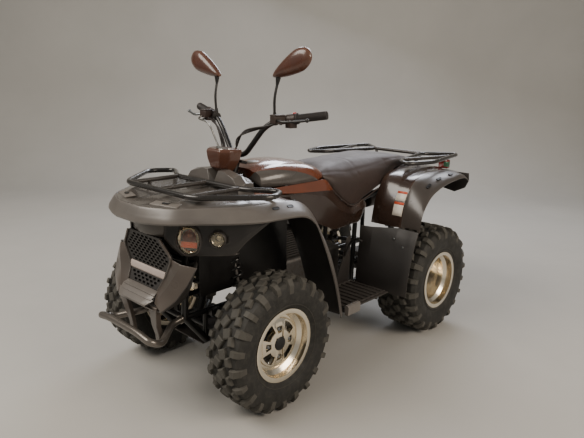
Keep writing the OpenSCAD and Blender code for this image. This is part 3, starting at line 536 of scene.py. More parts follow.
class QuadStage(bpy.types.Operator):
    """Pale floor, soft studio lights and the camera"""
    bl_idname = "quad.stage"
    bl_label = "Stage"

    def execute(self, context):
        scene = context.scene
        camera = bpy.data.objects.new("camera", bpy.data.cameras.new("camera"))
        scene.collection.objects.link(camera)
        a, e, r = (math.radians(v) for v in (CAMERA_AZIMUTH, CAMERA_PITCH, CAMERA_ROLL))
        back = Vector((math.sin(a) * math.cos(e), -math.cos(a) * math.cos(e), math.sin(e)))
        right = Vector((0, 0, 1)).cross(back).normalized()
        up = back.cross(right)
        across = math.cos(r) * right + math.sin(r) * up
        above = -math.sin(r) * right + math.cos(r) * up
        camera.matrix_world = Matrix((
            (across.x, above.x, back.x, CAMERA_PLACE.x), (across.y, above.y, back.y, CAMERA_PLACE.y),
            (across.z, above.z, back.z, CAMERA_PLACE.z), (0, 0, 0, 1)))
        camera.data.lens = CAMERA_LENS
        camera.data.sensor_width = 36.0
        camera.data.clip_end = 100
        scene.camera = camera

        bm = bmesh.new()
        low = CAD_BOX[0].z
        far, curve_r = 4.6, 1.2
        profile = [(-9.0, low)] + [(far - curve_r, low)]
        profile += [(far - curve_r + curve_r * math.sin(t * math.pi / 16),
                     low + curve_r * (1 - math.cos(t * math.pi / 16)))
                    for t in range(1, 9)] + [(far, low + 7.0)]
        turn = Matrix.Rotation(math.radians(CAMERA_AZIMUTH), 3, "Z")
        add_grid(bm, [[turn @ Vector((x, y, z)) for x in (-14, 14)] for y, z in profile])
        floor = material("Concrete smooth pale", "#b9b7b2", "#a9a7a2", 900, (0.7, 0.85), grain=6.0, depth=0.2)
        mesh = bpy.data.meshes.new("floor")
        bm.to_mesh(mesh)
        bm.free()
        mesh.materials.append(floor)
        mesh.polygons.foreach_set("use_smooth", [True] * len(mesh.polygons))
        obj = bpy.data.objects.new("floor", mesh)
        scene.collection.objects.link(obj)

        world = bpy.data.worlds.new("studio")
        scene.world = world
        world.use_nodes = True
        world.node_tree.nodes["Background"].inputs[0].default_value = linear("#c9c6c0")
        world.node_tree.nodes["Background"].inputs[1].default_value = 0.5
        area_light("key", (-1.2, -3.0, 3.6), (0, -0.2, 0.4), (3.4, 2.0), 185, "#fff6ea")
        area_light("side", (3.9, 0.4, 2.6), (0, 0.1, 0.5), (2.6, 1.6), 115, "#fff0de")
        area_light("back", (-1.6, 3.2, 3.2), (0, 0.2, 0.6), (3.2, 1.2), 110, "#f3f6ff")
        return {"FINISHED"}


# ---------- wheels ----------
def wheel_place(node, side):
    """Matrix whose Z axis points outboard from the tyre's middle, with its radius and half width."""
    lo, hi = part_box(node)
    place = Matrix.Translation((lo + hi) / 2) @ Matrix.Rotation(math.radians(90 * side), 4, "Y")
    return place, (hi.z - lo.z) / 2, (hi.x - lo.x) / 2


def add_lug(bm, place, radius, angle, across, length, width, height, skew, sink=0.004, lean=0.0):
    """One tread lug: a tapered block with a chamfered top, bent to the tyre's curve."""
    loops = []
    for level, grow in ((-sink, 1.22), (height - 0.003, 1.04), (height, 0.82)):
        loop = []
        for u, v in ((-1, -1), (1, -1), (1, 1), (-1, 1)):
            du, dv = u * length / 2 * grow, v * width / 2 * grow
            x = du * math.cos(skew) - dv * math.sin(skew)
            y = du * math.sin(skew) + dv * math.cos(skew)
            a = angle + x / radius
            r = radius + level - lean * abs(y)
            loop.append(bm.verts.new(place @ Vector((r * math.cos(a), r * math.sin(a), across + y))))
        loops.append(loop)
    for low, high in zip(loops, loops[1:]):
        for k in range(4):
            bm.faces.new((low[k], low[(k + 1) % 4], high[(k + 1) % 4], high[k]))
    bm.faces.new(loops[-1])


def add_shoulder_lug(bm, place, radius, half_width, angle, side, width, drop):
    """Lug that wraps from the tread down the shoulder."""
    profile = [(radius - 0.002, half_width * 0.6), (radius - 0.004, half_width * 0.8),
               (radius - drop * 0.5, half_width * 0.965), (radius - drop, half_width * 0.985)]
    inner = [(r - 0.016, a * 0.93) for r, a in profile]
    rings = []
    for (r, a), (ri, ai) in zip(profile, inner):
        ring = []
        for rr, aa, w in ((ri, ai, width * 1.15), (r, a, width * 0.85)):
            for sgn in (-1, 1):
                t = angle + sgn * w / 2 / radius
                ring.append(place @ Vector((rr * math.cos(t), rr * math.sin(t), side * aa)))
        rings.append([ring[0], ring[2], ring[3], ring[1]])
    verts = add_grid(bm, rings, closed=True)
    bm.faces.new(verts[0])
    bm.faces.new(verts[-1])


def make_tyre(node, side, pitches, body):
    place, radius, half = wheel_place(node, side)
    lug = sizes().lug_height
    base = radius - lug
    rim_lo, rim_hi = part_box(node.replace("tyre", "rim"))
    half_rim = (rim_hi.x - rim_lo.x) / 2
    bead = (rim_hi.z - rim_lo.z) / 2
    bm = bmesh.new()
    outside = [(bead + 0.002, half_rim - 0.004), (bead + 0.009, half_rim + 0.001),
               (bead + 0.014, half - 0.013),
               (bead + 0.030, half - 0.005), (radius - 0.070, half - 0.002), (radius - 0.050, half - 0.003),
               (radius - 0.032, half - 0.009), (base - 0.006, half * 0.80), (base - 0.001, half * 0.62),
               (base, half * 0.3)]
    inside = [(bead - 0.004, half_rim - 0.020), (bead + 0.006, half_rim - 0.022),
              (radius - 0.07, half - 0.014),
              (base - 0.02, half * 0.7)]
    profile = outside + [(r, -a) for r, a in reversed(outside)]
    profile += [(r, -a) for r, a in inside] + [(r, a) for r, a in reversed(inside)]
    add_turned(bm, profile, place, sides=112)
    # Thin moulded rings on the sidewalls.
    for sgn in (-1, 1):
        for r in (bead + 0.019, radius - 0.062):
            ring = [place @ Vector((r * math.cos(a), r * math.sin(a), sgn * (half - 0.0045 if r > bead + 0.03
                                                                              else half - 0.0105)))
                    for a in (2 * math.pi * k / 96 for k in range(96))]
            sweep(bm, ring, 0.0016, closed=True, sides=6)
    step = 2 * math.pi / pitches
    rows = half * 0.24
    for k in range(pitches):
        a = k * step
        add_lug(bm, place, base, a, rows * 0.62, 0.034, 0.030, lug, 0.42)
        add_lug(bm, place, base, a + step * 0.5, -rows * 0.62, 0.034, 0.030, lug, -0.42)
        for sgn in (-1, 1):
            shift = step * (0.28 if sgn > 0 else 0.78)
            add_lug(bm, place, base, a + shift, sgn * half * 0.46, 0.030, half * 0.24, lug * 0.98, 0.25 * sgn,
                    lean=0.06)
            long = (k % 2 == 0) == (sgn > 0)
            add_shoulder_lug(bm, place, radius, half, a + shift + step * 0.52, sgn,
                             0.030 if long else 0.024, 0.052 if long else 0.036)
    piece(f"{node}_tread", bm, tyre_rubber(), body, (node,), 28)


def make_front_rim(node, side, body):
    place, _, _ = wheel_place(node.replace("rim", "tyre"), side)
    lo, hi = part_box(node)
    flange, half_rim = (hi.z - lo.z) / 2, node_half_rim(node)
    bead = flange - 0.0155
    well = bead - 0.015
    bm = bmesh.new()
    add_turned(bm, rim_profile(flange, bead, well, half_rim), place, sides=96)
    # Recessed face and raised star, both with four windows; the star has four pockets for the nuts.
    windows, pockets = [], []
    for k in range(4):
        mid = math.radians(45 + 90 * k)
        for shapes, inner, outer, spread in ((windows, 0.052, 0.0885, 0.40), (pockets, 0.042, 0.070, 0.25)):
            arc = [(inner, mid + spread * (1 - 2 * i / 6)) for i in range(7)]
            arc += [(outer, mid - spread * (1 - 2 * i / 8)) for i in range(9)]
            shapes.append([(r * math.cos(a), r * math.sin(a)) for r, a in arc])
            mid += math.radians(45)
    face = cut_plate(circle(well + 0.001, 96), windows, 0.008, 0.0018)
    for v in face.verts:
        v.co.z += 0.021
    join(bm, face, place)
    star = cut_plate(circle(0.0955, 96), windows + pockets, 0.015, 0.0022)
    for v in star.verts:
        r = v.co.xy.length
        v.co.z += 0.035 - 0.010 * max(0.0, (r - 0.055) / 0.040)
    join(bm, star, place)
    piece(f"{node}_alloy", bm, polished_alloy(), body, (node,), 30)
    bm = bmesh.new()
    for k in range(4):
        a = math.radians(90 * k)
        centre = Vector((0.055 * math.cos(a), 0.055 * math.sin(a), 0))
        add_turned(bm, [(0.0, 0.041), (0.004, 0.041), (0.0085, 0.036), (0.010, 0.026), (0.0, 0.026)],
                   place @ Matrix.Translation(centre), sides=6)
    piece(f"{node}_nuts", bm, zinc_steel(), body, (), 20)
    bm = bmesh.new()
    add_turned(bm, [(0.0, 0.049), (0.020, 0.0485), (0.026, 0.045), (0.0285, 0.034), (0.0, 0.034)], place,
               sides=48)
    piece(f"{node}_cap", bm, moulded_black(), body, (), 30)
    # Brake disc and hub behind the face.
    bm = bmesh.new()
    add_turned(bm, [(0.017, -0.030), (0.088, -0.030), (0.088, -0.025), (0.034, -0.025), (0.034, 0.018),
                    (0.017, 0.018)], place, sides=64)
    piece(f"{node}_brake", bm, zinc_steel(), body, (), 30)


def moulded_black():
    """Nylon, moulded black."""
    return material("Nylon moulded black", "#141312", "#0e0d0d", 40, (0.35, 0.5), grain=1.2, depth=0.1)


def node_half_rim(node):
    lo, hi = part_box(node)
    return (hi.x - lo.x) / 2


def join(bm, part, place):
    part.transform(place)
    mesh = bpy.data.meshes.new("part")
    part.to_mesh(mesh)
    part.free()
    bm.from_mesh(mesh)
    bpy.data.meshes.remove(mesh)


def rim_profile(flange, bead, well, h):
    """Rolled lip, bead seats and a drop centre."""
    outer = [(flange, h - 0.001), (flange + 0.0008, h - 0.003), (flange - 0.001, h - 0.0045),
             (bead + 0.004, h - 0.0062), (bead, h - 0.012), (bead, h - 0.028), (well, h - 0.040)]
    inner = [(flange - 0.003, h), (bead - 0.002, h - 0.002), (bead - 0.004, h - 0.030),
             (well - 0.004, h - 0.043)]
    return (outer + [(r, -a) for r, a in reversed(outer)] + [(r, -a) for r, a in inner]
            + [(r, a) for r, a in reversed(inner)])


def make_rear_rim(node, side, body):
    place, _, _ = wheel_place(node.replace("rim", "tyre"), side)
    lo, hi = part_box(node)
    flange, half_rim = (hi.z - lo.z) / 2, node_half_rim(node)
    bead = flange - 0.0155
    well = bead - 0.015
    bm = bmesh.new()
    add_turned(bm, rim_profile(flange, bead, well, half_rim), place, sides=96)
    # Deep dish: the wall turns into the face in a wide radius, with two turned steps.
    dish = [(well - 0.002, 0.060), (well - 0.006, 0.010), (well - 0.012, -0.014), (well - 0.024, -0.026),
            (0.072, -0.0305), (0.070, -0.029), (0.040, -0.029), (0.036, -0.031), (0.0, -0.031), (0.0, -0.039),
            (well - 0.020, -0.039), (well - 0.002, -0.030)]
    add_turned(bm, dish, place, sides=96)
    piece(f"{node}_alloy", bm, polished_alloy(), body, (node,), 30)
    bm = bmesh.new()
    for k in range(4):
        a = math.radians(90 * k)
        centre = Vector((0.055 * math.cos(a), 0.055 * math.sin(a), 0))
        add_turned(bm, [(0.0, -0.012), (0.004, -0.012), (0.0085, -0.016), (0.010, -0.030), (0.0, -0.030)],
                   place @ Matrix.Translation(centre), sides=6)
    piece(f"{node}_nuts", bm, zinc_steel(), body, (), 20)
    bm = bmesh.new()
    add_turned(bm, [(0.0, 0.0), (0.022, -0.001), (0.029, -0.006), (0.031, -0.031), (0.0, -0.031)], place,
               sides=48)
    piece(f"{node}_cap", bm, moulded_black(), body, (), 30)


class QuadTyres(bpy.types.Operator):
    """Four knobbly tyres on their bodies"""
    bl_idname = "quad.tyres"
    bl_label = "Tyres"

    def execute(self, context):
        s = sizes()
        for side in (LEFT, RIGHT):
            n = SIDE_NAME[side]
            make_tyre(f"front_{n}_tyre", side, s.front_pitches, f"front_{n}_wheel")
            make_tyre(f"rear_{n}_tyre", side, s.rear_pitches, f"rear_{n}_wheel")
        return {"FINISHED"}


class QuadRims(bpy.types.Operator):
    """Polished rims, nuts, caps and brake discs"""
    bl_idname = "quad.rims"
    bl_label = "Rims"

    def execute(self, context):
        for side in (LEFT, RIGHT):
            n = SIDE_NAME[side]
            make_front_rim(f"front_{n}_rim", side, f"front_{n}_wheel")
            make_rear_rim(f"rear_{n}_rim", side, f"rear_{n}_wheel")
        return {"FINISHED"}


# ---------- front body ----------
# Outline of the front band and its rear leg from the middle of the front to the foot, in millimetres:
# lip (x, y, z) and seam (x, y, z).
BAND = [((60, -913, 736), (60, -890, 786)), ((120, -899, 738), (115, -876, 787)),
        ((200, -862, 742), (188, -838, 788)),
        ((262, -795, 744), (242, -768, 790)), ((335, -718, 745), (300, -690, 791)),
        ((392, -630, 746), (336, -612, 791)),
        ((410, -540, 747), (346, -530, 792)), ((410, -450, 742), (346, -440, 788)),
        ((406, -390, 727), (344, -366, 768)),
        ((402, -345, 690), (352, -312, 718)), ((400, -300, 610), (370, -262, 622)),
        ((400, -255, 515), (378, -215, 522)),
        ((400, -207, 390), (380, -168, 394)), ((398, -165, 250), (380, -128, 250))]
BAND_STEPS = 5


def band_edges():
    return (spline([mm(*s[0]) for s in BAND], BAND_STEPS), spline([mm(*s[1]) for s in BAND], BAND_STEPS))


def band_ring(lip, rim):
    """Section of the band: rolled lip, rounded shoulder, flat top running to the seam."""
    level = lip.z > 0.7
    crest = mix(lip, rim, 0.34) + mm(0, 0, 4 if level else 7)
    top = mix(crest, rim, 0.45) + mm(0, 0, 1 if level else 0)
    out = (lip - rim)
    out.z = 0
    roll = lip + out.normalized() * -0.004 + mm(0, 0, -7 if level else 0)
    return [roll, lip, mix(lip, crest, 0.5) + out.normalized() * 0.002, crest, mix(crest, top, 0.5), top,
            mix(top, rim, 0.5), rim]


class QuadFrontBand(bpy.types.Operator):
    """Band round the front and over the front wheels"""
    bl_idname = "quad.front_band"
    bl_label = "Front band"

    def execute(self, context):
        lips, rims = band_edges()
        half = [band_ring(a, b) for a, b in zip(lips, rims)]
        rows = [r for r in reversed(half)] + [[flipped(p) for p in r] for r in half]
        rows = [list(reversed(r)) for r in rows]
        sheet_piece("front_band", rows, sizes().panel, flare_plastic(), "chassis",
                    ("front_flare",), 32)
        marks = bmesh.new()
        for i, t in ((30, 0.52), (34, 0.52)):
            ring = half[i]
            here = mix(ring[3], ring[6], t)
            along = (half[i + 1][4] - half[i - 1][4]).normalized()
            across = (ring[6] - ring[3]).normalized()
            for s in (LEFT, RIGHT):
                f = (lambda p: p) if s == LEFT else flipped
                add_slot(marks, f(here), f(along), f(across), 0.030, 0.012)
        piece("front_band_slots", marks, moulded_black(), "chassis", (), 0)
        return {"FINISHED"}


def add_slot(bm, centre, along, across, length, width, depth=0.0042):
    """Recessed oval slot: a dark dished oval with a raised rim, standing on a panel."""
    normal = along.cross(across).normalized()
    if normal.z < 0:
        normal = -normal
    r = width / 2
    outline = []
    for k in range(20):
        a = 2 * math.pi * k / 20
        outline.append((math.cos(a) * r + math.copysign((length - width) / 2, math.cos(a)), math.sin(a) * r))
    rings = []
    for grow, up in ((1.10, -depth), (1.10, 0.0022), (0.92, 0.0022), (0.80, 0.0014)):
        rings.append([centre + along * x * grow + across * y * grow + normal * up for x, y in outline])
    verts = add_grid(bm, rings, closed=True)
    bm.faces.new(verts[-1])


# Deck heights above or below the seam, in millimetres: rows run from the front to the rear, columns
# from the middle to the left edge.
DECK_COLUMNS = [0.0, 0.16, 0.33, 0.52, 0.70, 0.86, 1.0]
DECK_ROWS = [
    (0.00, [3, 3, 2, 1, 0, 0, 0]), (0.10, [5, 2, 0, 0, 1, 0, 0]), (0.22, [2, 0, 0, 3, 5, 1, 0]),
    (0.34, [8, 6, -2, 10, 15, 3, 0]), (0.46, [10, 8, -5, -2, 14, 5, 0]), (0.58, [12, 8, -5, -6, 11, 7, 0]),
    (0.70, [14, 8, 0, -4, 9, 11, 0]), (0.84, [16, 12, 4, 0, 11, 6, 0]), (1.00, [16, 12, 8, 6, 4, 2, 0])]


class QuadDeck(bpy.types.Operator):
    """Glossy faceted deck under the front rack, its two plates and the nose blocks"""
    bl_idname = "quad.deck"
    bl_label = "Front deck and nose"

    def execute(self, context):
        _, rims = band_edges()
        last = 8 * BAND_STEPS
        rows = []
        for t, heights in DECK_ROWS:
            p = rims[round(t * last)]
            wide = p.x - 0.0006
            half = [Vector((wide * c, p.y + (0.0006 if t == 0 else 0), p.z - 0.0005 + h * MM))
                    for c, h in zip(DECK_COLUMNS, heights)]
            rows.append([flipped(q) for q in reversed(half[1:])] + half)
        sheet_piece("front_deck", rows, sizes().panel, deck_plastic(), "chassis",
                    ("front_fender",), 12, edge=0.002)
        # Inner faces of the front wheel arches.
        for side in (LEFT, RIGHT):
            f = (lambda p: p) if side == LEFT else flipped
            wall = []
            for i in range(last - 3, len(rims)):
                p = rims[i]
                wall.append([f(Vector((mix(0.196, p.x - 0.0008, j / 5), p.y, p.z - 0.0006
                                       - 0.004 * math.sin(math.pi * j / 5)))) for j in range(6)])
            sheet_piece(f"front_arch_{SIDE_NAME[side]}", wall, sizes().panel, dark_plastic(), "chassis",
                        (), 30)
        # Liner between the engine bay and each front wheel, clear of the turned tyre.
        for side in (LEFT, RIGHT):
            rows = [[mm(side * x, y, z) for x,
                     z in ((149, 425), (146, 520), (146, 640), (150, 700), (196, 742))]
                    for y in (-706, -640, -560, -480, -400, -320, -240)]
            sheet_piece(f"front_liner_{SIDE_NAME[side]}", rows, 0.003, moulded_black(), "chassis",
                        (), 30)
        # Two flat plates let into the deck, each with a dark oval slot.
        bm = bmesh.new()
        marks = bmesh.new()
        for side in (LEFT, RIGHT):
            seam = rims[0].z / MM
            corners = [mm(side * x, y, seam + z) for x, y, z in
                       ((78, -862, 8), (190, -826, 6), (172, -790, 12), (66, -824, 13))]
            add_plate(bm, corners, 0.006)
            along = (corners[1] - corners[0]).normalized()
            add_slot(marks, (corners[0] + corners[1] + corners[2] + corners[3]) / 4 + mm(0, 0, 0.4), along,
                     (corners[3] - corners[0]).normalized(), 0.028, 0.013)
        obj = piece("deck_plates", bm, flare_plastic(), "chassis", (), 20)
        modifier(obj, "BEVEL", width=0.0025, segments=2, limit_method="ANGLE")
        piece("deck_plate_slots", marks, moulded_black(), "chassis", (), 0)
        self.nose()
        return {"FINISHED"}

    def nose(self):
        """Two faceted blocks with a V between them."""
        lo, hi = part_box("nose_cover")
        front, back, wide = lo.y, hi.y, hi.x
        bm = bmesh.new()
        for side in (LEFT, RIGHT):
            def p(x, y, z):
                return Vector((side * x * wide, mix(front, back, y), z))
            low = lo.z + 0.004
            rows = [
                [p(1.0, 0, low), p(1.0, 0.45, low), p(1.0, 1, low)],
                [p(0.97, 0, hi.z - 0.060), p(0.98, 0.5, hi.z - 0.040), p(0.98, 1, hi.z - 0.044)],
                [p(0.78, 0.02, hi.z - 0.022), p(0.80, 0.5, hi.z - 0.012), p(0.80, 1, hi.z - 0.030)],
                [p(0.40, 0.12, hi.z - 0.003), p(0.36, 0.6, hi.z), p(0.34, 1, hi.z - 0.018)],
                [p(0.20, 0.14, hi.z - 0.004), p(0.18, 0.6, hi.z - 0.001), p(0.16, 1, hi.z - 0.020)],
                [p(0.03, 0.3, hi.z - 0.048), p(0.03, 0.7, hi.z - 0.030), p(0.03, 1, hi.z - 0.030)],
                [p(0.0, 0.3, hi.z - 0.052), p(0.0, 0.7, hi.z - 0.034), p(0.0, 1, hi.z - 0.034)]]
            verts = add_grid(bm, rows)
            fronts = [row[0] for row in verts]
            foot = bm.verts.new(p(0.0, 0.0, low))
            for a, b in zip(fronts, fronts[1:]):
                bm.faces.new((a, b, foot))
        bmesh.ops.remove_doubles(bm, verts=bm.verts, dist=1e-5)
        obj = piece("nose_blocks", bm, deck_plastic(), "chassis", ("nose_cover",), 12)
        modifier(obj, "SOLIDIFY", thickness=0.003, offset=-1.0)
        modifier(obj, "BEVEL", width=0.002, segments=2, limit_method="ANGLE", angle_limit=math.radians(20))


def add_plate(bm, corners, thickness):
    """Flat four-sided plate whose top face has these corners."""
    normal = (corners[1] - corners[0]).cross(corners[3] - corners[0]).normalized()
    if normal.z < 0:
        normal = -normal
    top = [bm.verts.new(p) for p in corners]
    low = [bm.verts.new(p - normal * thickness) for p in corners]
    bm.faces.new(top)
    bm.faces.new(list(reversed(low)))
    for k in range(4):
        bm.faces.new((top[k], low[k], low[(k + 1) % 4], top[(k + 1) % 4]))


# Grille: z, half width, y in millimetres.
GRILLE = [(667, 98, -838), (600, 152, -826), (527, 113, -824), (474, 96, -850)]


def grille_y(z):
    return at_height([(r[0], r[2]) for r in GRILLE], z)


def grille_half(z):
    return at_height([(r[0], r[1]) for r in GRILLE], z)


class QuadGrille(bpy.types.Operator):
    """Mesh grille with its blank bar, surround and chin"""
    bl_idname = "quad.grille"
    bl_label = "Grille"

    def execute(self, context):
        outline = [(s * r[1], r[0]) for s, rs in ((1, GRILLE), (-1, reversed(GRILLE))) for r in rs]
        holes = []
        pitch_x, pitch_z, row = 27.0, 15.5, 0
        z = 481.0
        while z < 660:
            if not 512 < z < 548:
                half = grille_half(z) - 9
                n = int(half // pitch_x) + 1
                for k in range(-n, n + 1):
                    x = (k + (0.5 if row % 2 else 0)) * pitch_x
                    if (abs(x) + 10 < half and abs(x) + 8 < grille_half(z + 6)
                        and abs(x) + 8 < grille_half(z - 6)):
                        holes.append([(x + a, z + b) for a, b in ((-11, 0), (-7, 5), (7, 5), (11, 0), (7, -5),
                                                                    (-7, -5))])
            row += 1
            z += pitch_z / 1.35
        bm = cut_plate([(x * MM, y * MM) for x, y in outline],
                       [[(x * MM, y * MM) for x, y in h] for h in holes],
                       0.006, 0.0008)
        for v in bm.verts:
            x, z, deep = v.co
            v.co = Vector((x, grille_y(z / MM) * MM + 0.001 - deep, z))
        piece("grille_mesh", bm, dark_plastic(), "chassis", ("grille",), 20)
        bm = bmesh.new()
        add_grid(bm, [[mm(s * r[1] * 0.99, r[2] + 7, r[0]) for s in (-1, 1)] for r in GRILLE])
        obj = piece("grille_back", bm, moulded_black(), "chassis", (), 0)
        modifier(obj, "SOLIDIFY", thickness=0.001, offset=0.0)
        # Blank pale bar across the waist.
        bm = bmesh.new()
        bar = [(542, 0.0), (536, 3.5), (520, 3.5), (514, 0.0)]
        add_grid(bm, [[mm(t * 112, grille_y(z) - 3 - out, z) for t in (-1, -0.97, -0.5, 0, 0.5, 0.97, 1)]
                      for z, out in bar])
        obj = piece("grille_bar", bm,
                    material("ABS moulded pale satin", "#b9aca6", "#a3968f", 60, (0.35, 0.5),
                                               grain=1.0, depth=0.05), "chassis", (), 25)
        modifier(obj, "SOLIDIFY", thickness=0.003, offset=-1.0)
        self.surround()
        return {"FINISHED"}

    def surround(self):
        wing = [((95, -857, 470), (112, -880, 440), (148, -878, 412)),
                ((113.5, -829, 527), (152, -852, 500), (203, -852, 467)),
                ((136.5, -828, 570), (180, -838, 548), (229, -824, 519)),
                ((153, -829, 600), (198, -822, 590), (247, -792, 583))]
        for side in (LEFT, RIGHT):
            rows = [[mm(side * x, y, z) for x, y, z in row] for row in wing]
            sheet_piece(f"grille_wing_{SIDE_NAME[side]}", rows, 0.004, rear_plastic(), "chassis",
                        ("grille_surround",) if side == LEFT else (), 20, edge=0.0022)
            rows = [[mm(side * x, y, z), mm(side * (x * 0.8 + 6), mix(y, -735, 0.6), z),
                     mm(side * x * 0.66, -735, z)]
                    for x, y, z in (r[2] for r in wing)]
            sheet_piece(f"grille_side_{SIDE_NAME[side]}", rows, 0.003, dark_plastic(), "chassis",
                        (), 20)
            # Raised frame along the mesh, and the leg down to the bumper.
            bm = bmesh.new()
            edge = [mm(side * (r[1] + 2), r[2] - 3, r[0]) for r in GRILLE[1:]]
            edge = [mm(side * 103, -842, 664)] + edge
            sweep(bm, rounded(edge, 0.02), 0.0055, sides=6)
            leg = [((78, -884, 424), (128, -884, 424)), ((70, -868, 340), (104, -868, 336)),
                   ((76, -858, 300), (102, -858, 300)), ((76, -854, 255), (98, -854, 255))]
            rows = []
            for (ax, ay, az), (bx, by, bz) in leg:
                rows.append([mm(side * ax, ay + 16, az), mm(side * ax, ay, az), mm(side * bx, by, bz),
                             mm(side * bx, by + 20, bz)])
            verts = add_grid(bm, rows, closed=True)
            bm.faces.new(verts[0])
            bm.faces.new(verts[-1])
            obj = piece(f"grille_leg_{SIDE_NAME[side]}", bm, rear_plastic(), "chassis", (),
                        25)
            modifier(obj, "BEVEL", width=0.002, segments=2, limit_method="ANGLE",
                     angle_limit=math.radians(40))
        # Layered chin: three lips, each further forward and lower.
        layers = [((97, -852, 473), (103, -874, 462)), ((104, -874, 460), (98, -888, 447)),
                  ((112, -882, 450), (88, -905, 430))]
        bm = bmesh.new()
        for (bx, by, bz), (fx, fy, fz) in layers:
            rows = [[mm(t * bx, by, bz) for t in (-1, -0.6, 0, 0.6, 1)],
                    [mm(t * fx, fy, fz) for t in (-1, -0.6, 0, 0.6, 1)],
                    [mm(t * fx, fy + 3, fz - 9) for t in (-1, -0.6, 0, 0.6, 1)]]
            add_grid(bm, rows)
        rows = [[mm(t * 88, -902, 422) for t in (-1, -0.6, 0, 0.6, 1)],
                [mm(t * 120, -880, 408) for t in (-1, -0.6, 0, 0.6, 1)],
                [mm(t * 143, -868, 408) for t in (-1, -0.6, 0, 0.6, 1)]]
        add_grid(bm, rows)
        obj = piece("grille_chin", bm, flare_plastic(), "chassis", (), 15)
        modifier(obj, "SOLIDIFY", thickness=0.003, offset=-1.0)
        modifier(obj, "BEVEL", width=0.0012, segments=2, limit_method="ANGLE")


# Front panel round the lamps: plan (x, y) and rows (first x, y shift, z, z rise per x).
LAMP_PLAN = [(90, -830), (192, -768), (285, -712), (348, -650), (398, -560)]
LAMP_ROWS = [(104, 0, 773, 0), (104, 0, 700, 0), (106, -4, 667, 0), (132, -6, 634, 0.09), (160, 0, 602, 0.09)]


def lamp_y(x):
    for (x0, y0), (x1, y1) in zip(LAMP_PLAN, LAMP_PLAN[1:]):
        if x <= x1:
            return mix(y0, y1, (x - x0) / (x1 - x0))
    return LAMP_PLAN[-1][1]


